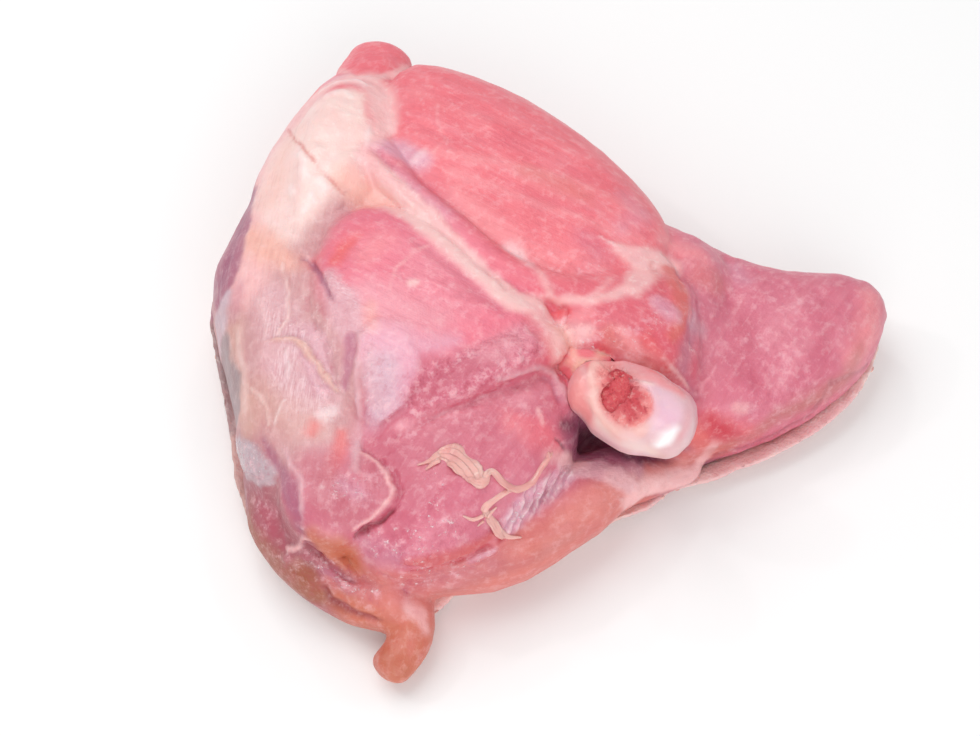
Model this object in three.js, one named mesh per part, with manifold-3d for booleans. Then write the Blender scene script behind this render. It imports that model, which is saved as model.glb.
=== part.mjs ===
// A raw turkey thigh, bone in, lying on its skin with the inner side up.
// The meat is one body of puffed muscles that meet in seams. The femur runs through it, and its hip end
// stands free at the front, cut open to the red marrow. The skin lies under all of it, curled up at the rim.
// Millimetres, +Z up. The knee end points to -X +Y, the cut hip end of the bone to +X -Y.
import * as THREE from "three";
import { mergeVertices } from "three/addons/utils/BufferGeometryUtils.js";
import Module from "manifold-3d";

const wasm = await Module();
wasm.setup();

// Driving dimensions
const SKIN_THICKNESS = 2.0;
const GAP = 0.3; // between neighbouring pieces
const SHAFT_RADIUS = 6.2; // of the femur in the middle
const LUMP_HEIGHT = 0.5; // of the gentle unevenness of every muscle
const BELLY = -2; // height that each muscle is made down to, before the skin's shape is cut away
const ABOVE_ALL = 100; // a height well over the thigh

// How finely the round shapes are divided
const SECTORS = 34; // round a muscle's rim
const SKIN_SECTORS = 60; // round the skin's rim
const SIDES = 14; // round a thick strip's section
const FINE_SIDES = 6; // round a thin one's

// Materials, by colour as seen in daylight
const FLESH = new THREE.MeshStandardMaterial({ color: 0xe08794, roughness: 0.38, metalness: 0 });
const SKIN = new THREE.MeshStandardMaterial({ color: 0xecd0c8, roughness: 0.5, metalness: 0 });
const BONE = new THREE.MeshStandardMaterial({ color: 0xeee0de, roughness: 0.3, metalness: 0 });
const MARROW = new THREE.MeshStandardMaterial({ color: 0xc93a44, roughness: 0.45, metalness: 0 });
const FASCIA = new THREE.MeshStandardMaterial({ color: 0xf0cdb8, roughness: 0.35, metalness: 0 });

const point = ([x, y, z]) => new THREE.Vector3(x, y, z);
const smooth = (points) => new THREE.CatmullRomCurve3(points.map(point), true, "centripetal");

// Closed surface through a row of rings, with a pole at each end, as a solid
function shell(rings, firstPole, lastPole) {
  const count = rings[0].length;
  const corners = [firstPole, ...rings.flat(), lastPole];
  const last = corners.length - 1;
  const at = (ring, i) => 1 + ring * count + (i % count);
  const faces = [];
  for (let i = 0; i < count; i++) {
    faces.push(0, at(0, i), at(0, i + 1));
    for (let ring = 0; ring < rings.length - 1; ring++) {
      faces.push(at(ring, i), at(ring + 1, i), at(ring + 1, i + 1));
      faces.push(at(ring, i), at(ring + 1, i + 1), at(ring, i + 1));
    }
    faces.push(last, at(rings.length - 1, i + 1), at(rings.length - 1, i));
  }
  const geometry = new THREE.BufferGeometry().setFromPoints(corners).setIndex(faces);
  return solidOf(geometry);
}

function solidOf(geometry) {
  geometry.deleteAttribute("normal");
  geometry.deleteAttribute("uv");
  const merged = mergeVertices(geometry, 1e-4);
  const vertProperties = merged.attributes.position.array;
  const triVerts = new Uint32Array(merged.index.array);
  const made = new wasm.Manifold(new wasm.Mesh({ numProp: 3, vertProperties, triVerts }));
  if (made.volume() > 0) return made;
  return new wasm.Manifold(new wasm.Mesh({ numProp: 3, vertProperties, triVerts: triVerts.reverse() }));
}

// Lumps about 20 mm long, so that no muscle is a perfect dome
const lump = (x, y) => LUMP_HEIGHT * Math.sin(x * 0.31 + y * 0.17) * Math.sin(y * 0.27 - x * 0.13 + 1.3);

// A muscle: a closed rim, puffed up to its crest and down to a flat belly.
// A fullness of 2 is an ellipse, and more is a boxier side. The side below the rim is always boxy.
function muscle({ rim, crest, fullness = 2.4, belly = BELLY, rows = 8, under = 3 }) {
  const around = smooth(rim).getPoints(SECTORS).slice(0, SECTORS);
  const top = point(crest);
  const rings = [];
  const ring = (share, height) =>
    around.map((edge) => {
      const x = top.x + (edge.x - top.x) * share;
      const y = top.y + (edge.y - top.y) * share;
      return new THREE.Vector3(x, y, height(edge.z) + lump(x, y) * (1 - share * share));
    });
  for (let row = 1; row <= rows; row++) {
    const angle = (row / rows) * (Math.PI / 2);
    const share = Math.sin(angle) ** (2 / fullness);
    const rise = Math.max(Math.cos(angle), 0) ** (2 / fullness);
    rings.push(ring(share, (edge) => edge + (top.z - edge) * rise));
  }
  for (let row = under - 1; row >= 1; row--) {
    const angle = (row / under) * (Math.PI / 2);
    const share = Math.sin(angle) ** 0.4;
    const drop = Math.cos(angle) ** 0.7;
    rings.push(ring(share, (edge) => edge + (belly - edge) * drop));
  }
  const crown = new THREE.Vector3(top.x, top.y, top.z + lump(top.x, top.y));
  return shell(rings, crown, new THREE.Vector3(top.x, top.y, belly));
}

// A strip along a curve: an oval section whose half width and half height change from one point to the next,
// closed by round ends. The section stays upright.
const CAP_SIZES = [0.35, 0.7, 0.92]; // of the rings that close an end, against its section
const CAP_REACH = 0.8; // of the end, against the smaller half size of its section
function strip({ path, widths, heights, steps = 14, sides = SIDES }) {
  const line = new THREE.CatmullRomCurve3(path.map(point), false, "centripetal");
  const between = (values, share) => {
    const place = share * (values.length - 1);
    const low = Math.min(Math.floor(place), values.length - 2);
    const ease = THREE.MathUtils.smoothstep(place - low, 0, 1);
    return THREE.MathUtils.lerp(values[low], values[low + 1], ease);
  };
  const section = (share, size, push) => {
    const along = line.getTangent(share);
    const across = new THREE.Vector3(-along.y, along.x, 0).normalize();
    const up = new THREE.Vector3().crossVectors(along, across);
    const middle = line.getPoint(share).addScaledVector(along, push);
    return Array.from({ length: sides }, (_, i) => {
      const angle = (i / sides) * Math.PI * 2;
      return middle
        .clone()
        .addScaledVector(across, Math.cos(angle) * between(widths, share) * size)
        .addScaledVector(up, Math.sin(angle) * between(heights, share) * size);
    });
  };
  const rings = [];
  const reach = (share) => Math.min(between(widths, share), between(heights, share)) * CAP_REACH;
  for (const size of CAP_SIZES) rings.push(section(0, size, -reach(0) * Math.sqrt(1 - size * size)));
  for (let step = 0; step <= steps; step++) rings.push(section(step / steps, 1, 0));
  for (const size of CAP_SIZES.toReversed())
    rings.push(section(1, size, reach(1) * Math.sqrt(1 - size * size)));
  const startPole = line.getPoint(0).addScaledVector(line.getTangent(0), -reach(0));
  const endPole = line.getPoint(1).addScaledVector(line.getTangent(1), reach(1));
  return shell(rings, startPole, endPole);
}

const joined = (solids) => solids.reduce((whole, piece) => whole.add(piece));
const largest = (solid) => solid.decompose().reduce((a, b) => (a.volume() > b.volume() ? a : b));

// The mass that all the muscles grow out of, which fills the depth of their seams
const core = muscle({
  rim: [
    [-40, 68, 12], [-20, 66, 12], [4, 54, 12], [18, 36, 12], [30, 20, 10], [38, 4, 9], [30, -10, 9],
    [16, -15, 10], [4, -26, 10], [-8, -46, 10], [-34, -60, 9], [-52, -54, 8], [-66, -36, 8],
    [-70, -8, 10], [-72, 18, 12], [-62, 50, 12],
  ],
  crest: [-22, 10, 37],
  fullness: 3,
});

// The broad muscle along the back edge, from the knee to the hip
const upperMuscle = muscle({
  rim: [
    [-34, 79, 20], [-20, 75.7, 18], [-4, 67.5, 17], [11, 55.3, 16], [21.5, 44.3, 15], [28, 34, 16],
    [30, 20, 24], [18, 8, 31], [-2, 7, 33], [-16, 15, 34], [-29, 30, 34], [-39, 49, 31], [-41, 66, 26],
  ],
  crest: [-8, 37, 40],
  fullness: 3,
});

// The outer side, under fat at the knee and thin membrane further down
const outerSide = muscle({
  rim: [
    [-52, 80, 18], [-39, 75, 25], [-35, 58, 31], [-36, 38, 33], [-42, 18, 33], [-45, 0, 31], [-44, -20, 28],
    [-42, -42, 23], [-50, -53, 17], [-61, -50, 12], [-71, -34, 12], [-75, -12, 13], [-81.3, 15, 14],
    [-74.6, 37, 14], [-69.2, 55.5, 14], [-60.5, 71, 15],
  ],
  crest: [-57, 10, 36],
  fullness: 2.9,
});

// The pad of fat over the knee
const kneeFat = muscle({
  rim: [
    [-52, 72, 24], [-41, 66, 30], [-38, 46, 32], [-46, 26, 32], [-60, 22, 28], [-68, 34, 22], [-64, 54, 20],
  ],
  crest: [-52, 46, 39],
  rows: 7,
});

// The muscle over the middle of the femur, the highest of them
const middleMuscle = muscle({
  rim: [
    [-55, 20, 32], [-44, 29, 35], [-28, 24, 36], [-15, 12, 36], [-2, 2, 35], [3, -7, 32], [-4, -16, 28],
    [-21, -24, 26], [-41, -34, 24], [-50, -22, 28], [-57, 3, 31],
  ],
  crest: [-30, -2, 42.5],
  fullness: 2.6,
});

// The broad muscle at the front, in front of the bone
const lowerMuscle = muscle({
  rim: [
    [-45, -35, 24], [-33, -26, 29], [-16, -19, 31], [0, -13, 31], [6, -19, 27], [6, -29, 21], [-2, -42, 18],
    [-16, -56, 16], [-34, -62, 15], [-46, -56, 16], [-49, -45, 20],
  ],
  crest: [-16, -38, 36],
  fullness: 2.7,
});

// The muscle past the hip, at the right
const hipMuscle = muscle({
  rim: [
    [29, 33, 14], [40, 30, 13], [56, 23.2, 12.5], [75, 21.4, 12], [82.2, 15.5, 11], [78, 1, 10],
    [70.5, -7.5, 9], [56, -16.8, 8], [41, -22.8, 8], [30, -25, 8.5], [24, -13, 14], [26, 7, 18],
  ],
  crest: [50, 2, 25],
  fullness: 3.2,
});

// Tissue of the hip joint, behind the free end of the bone
const jointTissue = muscle({
  rim: [
    [0, 3, 32], [12, 8, 31], [26, 14, 28], [35, 10, 25], [36, -4, 22], [33, -15, 20], [25, -17, 23],
    [12, -13, 28], [3, -10, 30],
  ],
  crest: [16, -5, 40],
});

// The bridge of tissue between the upper muscle and the hip muscle
const hipLink = muscle({
  rim: [
    [18, 36, 16], [28, 35, 14], [37, 31, 13], [43, 24, 17], [43, 8, 19], [39, -6, 18], [30, -8, 24],
    [22, 6, 29], [16, 22, 28],
  ],
  crest: [31, 15, 31],
  rows: 6,
});

// The low floor of the hollow under the free end of the bone
const hollowFloor = muscle({
  rim: [[0, -20, 8], [16, -12, 8], [34, -14, 8], [36, -27, 6], [26, -33, 6], [8, -36, 7]],
  crest: [18, -24, 11],
  rows: 5,
});

// The ridge of fat in the seam between the upper and the middle muscle
const fatRidge = strip({
  path: [
    [-48, 60, 32], [-41, 44, 36], [-33, 32, 37.5], [-21, 20, 38.5], [-9, 9, 38.5], [5, 4, 37], [18, 6, 35],
    [27, 14, 31],
  ],
  widths: [6, 5, 4, 3.5, 3.5, 4, 5, 4],
  heights: [4, 3.5, 3.5, 3.5, 3.5, 3.5, 3.5, 3],
});

// The ragged cut ridge in front of the middle muscle
const cutRidge = strip({
  path: [[0, -9, 35], [-11, -15, 37], [-23, -21, 35], [-36, -28, 30]],
  widths: [5, 6, 6, 4],
  heights: [4, 5, 5, 4],
});

// The long smooth muscle along the front edge
const rimMuscle = strip({
  path: [[-45, -51, 12], [-31, -52.5, 13], [-12, -48.5, 13], [4, -39, 13], [15, -31, 11], [25, -28, 8]],
  widths: [8, 10, 11, 10, 8, 5],
  heights: [9, 10, 11, 10, 8, 4],
});

// The dark muscle at the lower left, which ends in the tail
const cornerMuscle = strip({
  path: [[-65, -32, 13], [-61, -42.5, 12], [-54, -52, 11], [-45, -59, 9], [-36, -63, 9]],
  widths: [7, 9, 9, 8, 7],
  heights: [9, 10, 9, 8, 7],
});

const tail = strip({
  path: [[-34, -61, 8], [-31.6, -67, 7.5], [-32.8, -72.5, 7], [-36.4, -77.4, 6.2]],
  widths: [8, 5.4, 5.2, 4.9],
  heights: [6, 5, 4.2, 3.8],
  steps: 8,
});

// The cut end of a muscle that stands out past the knee
const kneeKnob = strip({
  path: [[-46, 69, 22], [-43.5, 78, 21.5], [-41.5, 85, 20.5]],
  widths: [8, 9.4, 8.6],
  heights: [8, 7, 6],
  steps: 6,
});

// A loose round lobe that folds down over the lower muscle
const sideLobe = muscle({
  rim: [
    [-54, -18, 32], [-46, -31, 32], [-38.5, -39, 31.5], [-36.5, -47, 29.5], [-42, -55, 26], [-51, -57, 23],
    [-60, -52, 20], [-62, -36, 25],
  ],
  crest: [-49, -44, 34],
  fullness: 3.4,
  belly: 20,
  rows: 6,
});

// The edge of the lower muscle, which hangs over the muscle along the front
const frontFold = strip({
  path: [[-31, -57.5, 18], [-21, -57, 20.5], [-13, -53.5, 22.5], [-6.5, -46, 25]],
  widths: [2.4, 3, 3, 2],
  heights: [2, 2.6, 2.6, 1.6],
  steps: 8,
  sides: 8,
});

// The curled lip of a torn membrane below that lobe
const lipFold = strip({
  path: [[-60, -55.5, 17], [-55.5, -55, 20], [-50, -58, 20], [-45, -62.5, 16.5]],
  widths: [1.6, 2.6, 3, 2.2],
  heights: [1.6, 2, 2, 1.6],
  steps: 8,
  sides: FINE_SIDES,
});

// The femur: a straight shaft from the knee end to the hip, and a stout free end that lies across it
const HIP = [18, -26, 33]; // middle of the free end
const widened = (values, grow) => values.map((value) => value + grow);
const femurShaft = (grow) =>
  strip({
    path: [[-38, 46, 19], [-30, 34, 20], [-10, 8, 24], [8, -12, 29], [15, -20, 31]],
    widths: widened([9, SHAFT_RADIUS, SHAFT_RADIUS, SHAFT_RADIUS, SHAFT_RADIUS], grow),
    heights: widened([8, SHAFT_RADIUS, SHAFT_RADIUS, SHAFT_RADIUS, SHAFT_RADIUS], grow),
    steps: 10,
  });
const hipEnd = (grow) =>
  strip({
    path: [[9.5, -20.5, 34], [14.5, -23, 33.5], [20.5, -26, 33], [26.5, -28.5, 32.5]],
    widths: widened([7, 9.6, 10.4, 8.6], grow),
    heights: widened([7, 9.4, 10, 9], grow),
    steps: 8,
    sides: 18,
  });

// A round boss: its half sizes, turned about +Z
function boss({ middle, half, turn, grow = 0 }) {
  const geometry = new THREE.SphereGeometry(1, 18, 12)
    .scale(half[0] + grow, half[1] + grow, half[2] + grow)
    .rotateZ(turn)
    .translate(...middle);
  return solidOf(geometry);
}

// The cut across the top of the free end, a plane that leans to the left and the front
const CUT_RISE = 7.6; // of the plane above the middle of the free end
const CUT_LEAN = 0.3; // about each axis, in radians
const MARROW_SINK = 0.8; // of the marrow's face below the cut
const hipCut = (drop) =>
  solidOf(
    new THREE.BoxGeometry(60, 60, 30)
      .translate(0, 0, 15)
      .rotateX(CUT_LEAN)
      .rotateY(-CUT_LEAN)
      .translate(HIP[0] - 4, HIP[1], HIP[2] + CUT_RISE - drop),
  );
const marrowCore = (grow) => boss({ middle: [15.6, -24, 37], half: [4.9, 5.6, 6.6], turn: -0.4, grow });

const femurWhole = joined([femurShaft(0), hipEnd(0)]);
const femur = largest(femurWhole.subtract(hipCut(0)).subtract(marrowCore(GAP)));
const marrow = largest(marrowCore(0).subtract(hipCut(MARROW_SINK)));
const boneRoom = joined([femurShaft(GAP), hipEnd(GAP)]);

// The skin: a shallow dish, flat where the thigh lies on it, with its rim curled up round the meat
const SKIN_RIM = smooth([
  [24, -35.2, 4], [28.6, -31.2, 4.3], [37, -28.8, 4.5], [47, -25, 5.5], [57, -20.6, 6], [69.5, -12, 7.5],
  [77, -3, 9.5], [81, 10, 10.5], [76, 22, 11], [56, 25, 12], [40, 31, 12], [28, 39, 12], [12, 55, 12],
  [-4, 68, 12], [-20, 76.5, 12], [-38, 80, 12], [-54, 76, 12], [-64.5, 61.5, 13], [-71.5, 49.5, 14],
  [-76.2, 37, 15], [-82.3, 15, 14], [-77, -12, 9], [-73, -35, 8], [-64.3, -49.5, 6], [-53.5, -60.5, 5],
  [-43, -66.5, 4], [-32, -65, 3], [-23, -62, 3], [-10, -54, 4], [4, -46.5, 5], [16, -38.5, 4],
])
  .getPoints(SKIN_SECTORS)
  .slice(0, SKIN_SECTORS);
const FLAT_SHARE = 0.72; // of the way out to the rim
const CUT_DEPTH = 30; // how far down and out the same shape is carried, to cut the meat's underside
const CUT_REACH = 1.3;

// The dish between two offsets from the skin's faces, with its rim carried out to a reach
const dish = (under, over, reach) => {
  const shares = [0.4, FLAT_SHARE, 0.84, 0.93, 1];
  if (reach > 1) shares.push(reach);
  const lift = (share) => THREE.MathUtils.smoothstep(share, FLAT_SHARE, 1) ** 1.2;
  const ring = (share, offset) =>
    SKIN_RIM.map(
      (edge) => new THREE.Vector3(edge.x * share, edge.y * share, (edge.z - 1) * lift(share) + offset),
    );
  const top = shares.map((share) => ring(share, SKIN_THICKNESS + over));
  const bottom = shares.map((share) => ring(share, -under)).reverse();
  return shell(
    [...top, ...bottom],
    new THREE.Vector3(0, 0, SKIN_THICKNESS + over),
    new THREE.Vector3(0, 0, -under),
  );
};
const skin = dish(0, 0, 1);
const roomBelow = dish(CUT_DEPTH, GAP, CUT_REACH);

const rawMeat = joined([
  core, upperMuscle, outerSide, kneeFat, middleMuscle, lowerMuscle, hipMuscle, jointTissue, hipLink,
  hollowFloor, fatRidge, cutRidge, rimMuscle, cornerMuscle, tail, kneeKnob, sideLobe, frontFold, lipFold,
]);
const meat = largest(rawMeat.subtract(roomBelow).subtract(boneRoom));

// A loose strand of fascia that lies across the lower muscle, and its side strand.
// Each lies along a route seen from above, at the height of the meat below it.
const down = new THREE.Raycaster();
const meatMesh = meshOf("meat", meat, FLESH);
function draped(route) {
  return route.map(([x, y]) => {
    down.set(new THREE.Vector3(x, y, ABOVE_ALL), new THREE.Vector3(0, 0, -1));
    return [x, y, down.intersectObject(meatMesh)[0].point.z + GAP];
  });
}

// The same solid a step away
function shifted(solid, step) {
  const mesh = solid.getMesh();
  for (let i = 0; i < mesh.vertProperties.length; i++)
    mesh.vertProperties[i] += step[i % mesh.numProp];
  return new wasm.Manifold(mesh);
}

const strandWhole = joined([
  strip({
    path: draped([
      [-29, -42], [-24, -38], [-20, -40], [-16, -44], [-11, -47], [-5, -46], [-1, -41], [1, -36],
    ]),
    widths: [1.2, 1.8, 3, 3.2, 1.6, 1.4, 1.6, 1.2],
    heights: [0.9, 1.2, 1.3, 1.3, 1.3, 1.3, 1.2, 1],
    steps: 22,
    sides: FINE_SIDES,
  }),
  strip({
    path: draped([[-10, -47], [-15, -51], [-11, -54], [-6, -57]]),
    widths: [1.2, 1.2, 1.5, 1],
    heights: [1.1, 1.1, 1.1, 0.8],
    steps: 10,
    sides: FINE_SIDES,
  }),
]);
const roomAbove = [[0, 0, 0], [0, 0, GAP], [0, -GAP, 0]].map((step) => shifted(meat, step));
const strand = largest(roomAbove.reduce((left, room) => left.subtract(room), strandWhole));

function meshOf(name, solid, material) {
  const { numProp, vertProperties, triVerts } = solid.getMesh();
  const corners = new Float32Array((vertProperties.length / numProp) * 3);
  for (let i = 0; i < corners.length / 3; i++)
    corners.set(vertProperties.subarray(i * numProp, i * numProp + 3), i * 3);
  const geometry = new THREE.BufferGeometry()
    .setAttribute("position", new THREE.BufferAttribute(corners, 3))
    .setIndex(new THREE.BufferAttribute(triVerts, 1));
  geometry.computeVertexNormals();
  const mesh = new THREE.Mesh(geometry, material);
  mesh.name = name;
  return mesh;
}

const thigh = new THREE.Group();
thigh.add(
  meatMesh,
  meshOf("skin", skin, SKIN),
  meshOf("femur", femur, BONE),
  meshOf("marrow", marrow, MARROW),
  meshOf("loose_strand", strand, FASCIA),
);

// The origin is under the middle of the whole, at the height of the surface that it lies on
const bounds = new THREE.Box3().setFromObject(thigh);
const middle = bounds.getCenter(new THREE.Vector3());
thigh.position.set(-middle.x, -middle.y, -bounds.min.z);

export default thigh;
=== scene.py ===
import math

import bmesh
import bpy
import numpy as np
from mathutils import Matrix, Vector
from mathutils.bvhtree import BVHTree


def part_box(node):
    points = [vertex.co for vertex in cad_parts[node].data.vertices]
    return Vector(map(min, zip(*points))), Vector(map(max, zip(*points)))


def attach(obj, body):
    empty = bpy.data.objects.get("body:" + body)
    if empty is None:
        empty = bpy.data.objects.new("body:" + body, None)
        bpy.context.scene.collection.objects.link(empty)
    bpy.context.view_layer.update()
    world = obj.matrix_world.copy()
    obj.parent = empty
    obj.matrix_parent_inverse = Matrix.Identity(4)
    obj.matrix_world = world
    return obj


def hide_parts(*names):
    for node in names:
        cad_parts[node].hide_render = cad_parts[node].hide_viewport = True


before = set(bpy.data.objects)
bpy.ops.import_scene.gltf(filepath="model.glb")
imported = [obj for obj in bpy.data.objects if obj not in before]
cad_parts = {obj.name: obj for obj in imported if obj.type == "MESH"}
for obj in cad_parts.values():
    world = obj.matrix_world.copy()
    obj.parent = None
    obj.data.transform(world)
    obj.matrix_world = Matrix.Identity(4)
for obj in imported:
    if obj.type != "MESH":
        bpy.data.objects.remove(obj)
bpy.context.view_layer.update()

# The meat: raw muscles in their thin sheaths, grown together, with fat at the knee and in the main seam.
# It is one body. Its surface starts from the solid, is smoothed, and is then carved and coloured with the
# seams, fibres, films, folds and torn edges that cutting the thigh off the bird has left.
MEAT_VOXEL = 0.00063
MEAT_SMOOTHING = 13
MEAT_TRIANGLES = 197000
UNDERSIDE_GRAIN = 0.3
STEEP = -0.6
CAMERA_LENS = 100
CAMERA_FILM = 36
CAMERA_ELEVATION = math.radians(58)
CAMERA_DISTANCE = 0.653
CAMERA_AIM = Vector((-0.01394, -0.00549, 0.012))
PHOTO_WIDTH = 980
PHOTO_HEIGHT = 736

backwards = Vector((0, -math.cos(CAMERA_ELEVATION), math.sin(CAMERA_ELEVATION)))
camera_place = CAMERA_AIM + backwards * CAMERA_DISTANCE
camera_turn = (-backwards).to_track_quat("-Z", "Y")


def merged_copy(node, name):
    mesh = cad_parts[node].data.copy()
    mesh.materials.clear()
    work = bmesh.new()
    work.from_mesh(mesh)
    bmesh.ops.remove_doubles(work, verts=work.verts, dist=1e-6)
    work.to_mesh(mesh)
    work.free()
    piece = bpy.data.objects.new(name, mesh)
    bpy.context.scene.collection.objects.link(piece)
    return piece


def made_plain(piece):
    """Turns what the piece's modifiers make into its own mesh, and removes them."""
    bpy.context.view_layer.update()
    seen = piece.evaluated_get(bpy.context.evaluated_depsgraph_get())
    mesh = bpy.data.meshes.new_from_object(seen)
    piece.modifiers.clear()
    piece.data = mesh
    mesh.name = piece.name
    mesh.polygons.foreach_set("use_smooth", [True] * len(mesh.polygons))
    return piece


def remeshed(piece, voxel, smoothing):
    grid = piece.modifiers.new("grid", "REMESH")
    grid.mode = "VOXEL"
    grid.voxel_size = voxel
    ease = piece.modifiers.new("ease", "SMOOTH")
    ease.factor = 0.5
    ease.iterations = smoothing
    return made_plain(piece)


def places(mesh):
    """The mesh's points, in millimetres."""
    flat = np.empty(len(mesh.vertices) * 3)
    mesh.vertices.foreach_get("co", flat)
    return flat.reshape(-1, 3) * 1000


def facing(mesh):
    flat = np.empty(len(mesh.vertices) * 3)
    mesh.vertex_normals.foreach_get("vector", flat)
    return flat.reshape(-1, 3)


def moved(mesh, spots):
    mesh.vertices.foreach_set("co", (spots / 1000).ravel())
    mesh.update()


def surface_of(piece):
    return BVHTree.FromObject(piece, bpy.context.evaluated_depsgraph_get())


def noise(spots, size, seed=0):
    """Smooth random values from -1 to 1, in lumps of about that size."""
    cell = spots / size
    low = np.floor(cell).astype(np.int64)
    part = cell - low
    part = part * part * (3 - 2 * part)
    total = np.zeros(len(spots))
    for corner in range(8):
        step = np.array([corner & 1, corner >> 1 & 1, corner >> 2 & 1])
        x, y, z = ((low + step) * [73856093, 19349663, 83492791]).T
        mixed = (x ^ y ^ z ^ (seed * 2654435761)) & 0xFFFFFFFF
        mixed = (mixed ^ (mixed >> 15)) * 2246822519 & 0xFFFFFFFF
        mixed = (mixed ^ (mixed >> 13)) * 3266489917 & 0xFFFFFFFF
        value = (mixed ^ (mixed >> 16)) / 0x7FFFFFFF - 1
        weight = np.where(step, part, 1 - part).prod(1)
        total += weight * value
    return total


def ramp(values, low, high):
    share = np.clip((values - low) / (high - low), 0, 1)
    return share * share * (3 - 2 * share)


def thinned_below(piece, triangles):
    """Fewer faces where the piece looks down, which its neighbour hides, down to that many in all."""
    below = piece.vertex_groups.new(name="below")
    ground = places(piece.data)
    outwards = facing(piece.data)
    hidden = outwards[:, 2] < STEEP
    for index in np.flatnonzero(hidden):
        below.add([int(index)], 1.0, "REPLACE")
    grain = UNDERSIDE_GRAIN * noise(ground, 1, 9) * hidden
    moved(piece.data, ground + outwards * grain[:, None])
    thin = piece.modifiers.new("thin", "DECIMATE")
    thin.ratio = triangles / (2 * len(piece.data.polygons))
    thin.vertex_group = "below"
    made_plain(piece)
    piece.vertex_groups.clear()
    return piece


meat = remeshed(merged_copy("meat", "meat_surface"), MEAT_VOXEL, MEAT_SMOOTHING)
meat_tree = surface_of(meat)


def sighted(route, tree):
    """A route of photo pixels, laid on a surface as the camera sees it, in millimetres."""
    laid = []
    for across, down in route:
        side = (across - PHOTO_WIDTH / 2) / PHOTO_WIDTH * CAMERA_FILM / CAMERA_LENS
        up = (PHOTO_HEIGHT / 2 - down) / PHOTO_WIDTH * CAMERA_FILM / CAMERA_LENS
        way = (camera_turn @ Vector((side, up, -1))).normalized()
        hit = tree.ray_cast(camera_place, way)[0]
        if hit is None:
            level = camera_place + way * ((0.02 - camera_place.z) / way.z)
            hit = tree.find_nearest(level)[0]
        laid.append(np.array(hit) * 1000)
    return np.array(laid)


class Trail:
    """Where points lie against a route on the surface: how far beyond its widths, in millimetres."""

    def __init__(self, spots, route, widths, tree, counted=1):
        spots = spots * counted
        route = sighted(route, tree) * counted
        stations = np.linspace(0, 1, len(route))
        widths = np.interp(stations, np.linspace(0, 1, len(widths)), widths)
        self.beyond = np.full(len(spots), 1e9)
        for start, end, wide, narrow in zip(route, route[1:], widths, widths[1:]):
            step = end - start
            length = np.linalg.norm(step)
            share = np.clip((spots - start) @ step / length**2, 0, 1)
            away = np.linalg.norm(spots - start - share[:, None] * step, axis=1)
            width = wide + share * (narrow - wide)
            self.beyond = np.minimum(self.beyond, away - width)

    def cover(self, edge):
        """1 inside the route's widths, 0 outside, over that edge."""
        return ramp(-self.beyond, -edge, edge)


def paint(code):
    """A colour as seen, #RRGGBB, as the light values that shaders use."""
    seen = np.array([int(code[i : i + 2], 16) for i in (1, 3, 5)]) / 255
    return np.where(seen <= 0.04045, seen / 12.92, ((seen + 0.055) / 1.055) ** 2.4)


# Places where neighbouring muscles have grown into one another without a seam: route and half widths
EASED = [
    (
        [(448, 222), (468, 236), (490, 246), (508, 258), (532, 274), (562, 281), (604, 277), (632, 262)],
        (2, 3.2, 3.8, 3.4, 2.6),
    ),
    ([(350, 436), (322, 444), (306, 470), (304, 505), (312, 525)], (2.6, 3, 2.4)),
    ([(316, 96), (334, 86), (354, 84), (370, 90), (380, 106), (384, 132)], (3, 3.6, 3.6, 3.2)),
    ([(412, 190), (445, 226), (482, 262)], (1.6,)),
    ([(322, 545), (340, 556), (354, 566)], (2.8, 3.2, 2.4)),
    ([(328, 562), (341, 560), (352, 557), (364, 550)], (4.4, 5.0, 4.2)),
    ([(715, 250), (722, 290), (712, 330)], (3,)),
    ([(540, 318), (556, 340), (566, 362), (572, 378)], (3.2, 3.4, 3)),
    ([(640, 262), (660, 262), (676, 280), (690, 310), (690, 335)], (2, 2.4, 2.4)),
    ([(345, 70), (365, 76), (395, 72)], (1.4,)),
]
EASING = 90


def eased(piece, tree):
    """Smooths a piece well beyond its grain along those routes."""
    grown = piece.vertex_groups.new(name="grown")
    ground = places(piece.data)
    amount = np.zeros(len(ground))
    for route, widths in EASED:
        amount = np.maximum(amount, Trail(ground, route, widths, tree).cover(1.2))
    for index in np.flatnonzero(amount > 0.02):
        grown.add([int(index)], float(amount[index]), "REPLACE")
    ease = piece.modifiers.new("ease", "SMOOTH")
    ease.vertex_group = "grown"
    ease.iterations = EASING
    made_plain(piece)
    piece.vertex_groups.clear()


eased(meat, meat_tree)
thinned_below(meat, MEAT_TRIANGLES)
spots = places(meat.data)
out = facing(meat.data)
meat_tree = surface_of(meat)

# Colours of raw meat, fat, film and blood
TONES = {
    "coral": "#EC737F", "light_coral": "#F3969C", "deep_coral": "#DF6272", "rose": "#D7758A",
    "light_rose": "#EC9EAB", "deep_rose": "#C2546C", "mauve": "#BC7088", "plum": "#96506C",
    "dark_plum": "#5E2A40", "lilac": "#DCA4B8", "grey_lilac": "#CBB4C0", "film": "#DCA9B2",
    "silver": "#E6A4B8", "white": "#FDF0F0", "cream": "#F8D8D2", "pink_cream": "#F4BCBC",
    "peach": "#F2B4A4", "tan": "#D6A396", "salmon": "#D87870", "orange": "#CC7058",
    "bright_red": "#EC6462", "blood": "#C92C40", "dark_red": "#8E2836", "brown": "#A4623E",
    "grey": "#9A8488", "wine": "#A8627C", "membrane": "#CE9799", "vein": "#DCAC9E",
    "rust": "#A25A40", "dusk": "#A65A64", "rim_pink": "#E18A84", "lobe": "#C46B79",
    "amber": "#C4694A", "mist": "#BDA6AE", "rosy": "#EA7A8E",
    "brick": "#C9524E", "fin": "#DE6C66", "clay": "#BE6A66", "lower_rose": "#D06C80",
}

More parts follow.
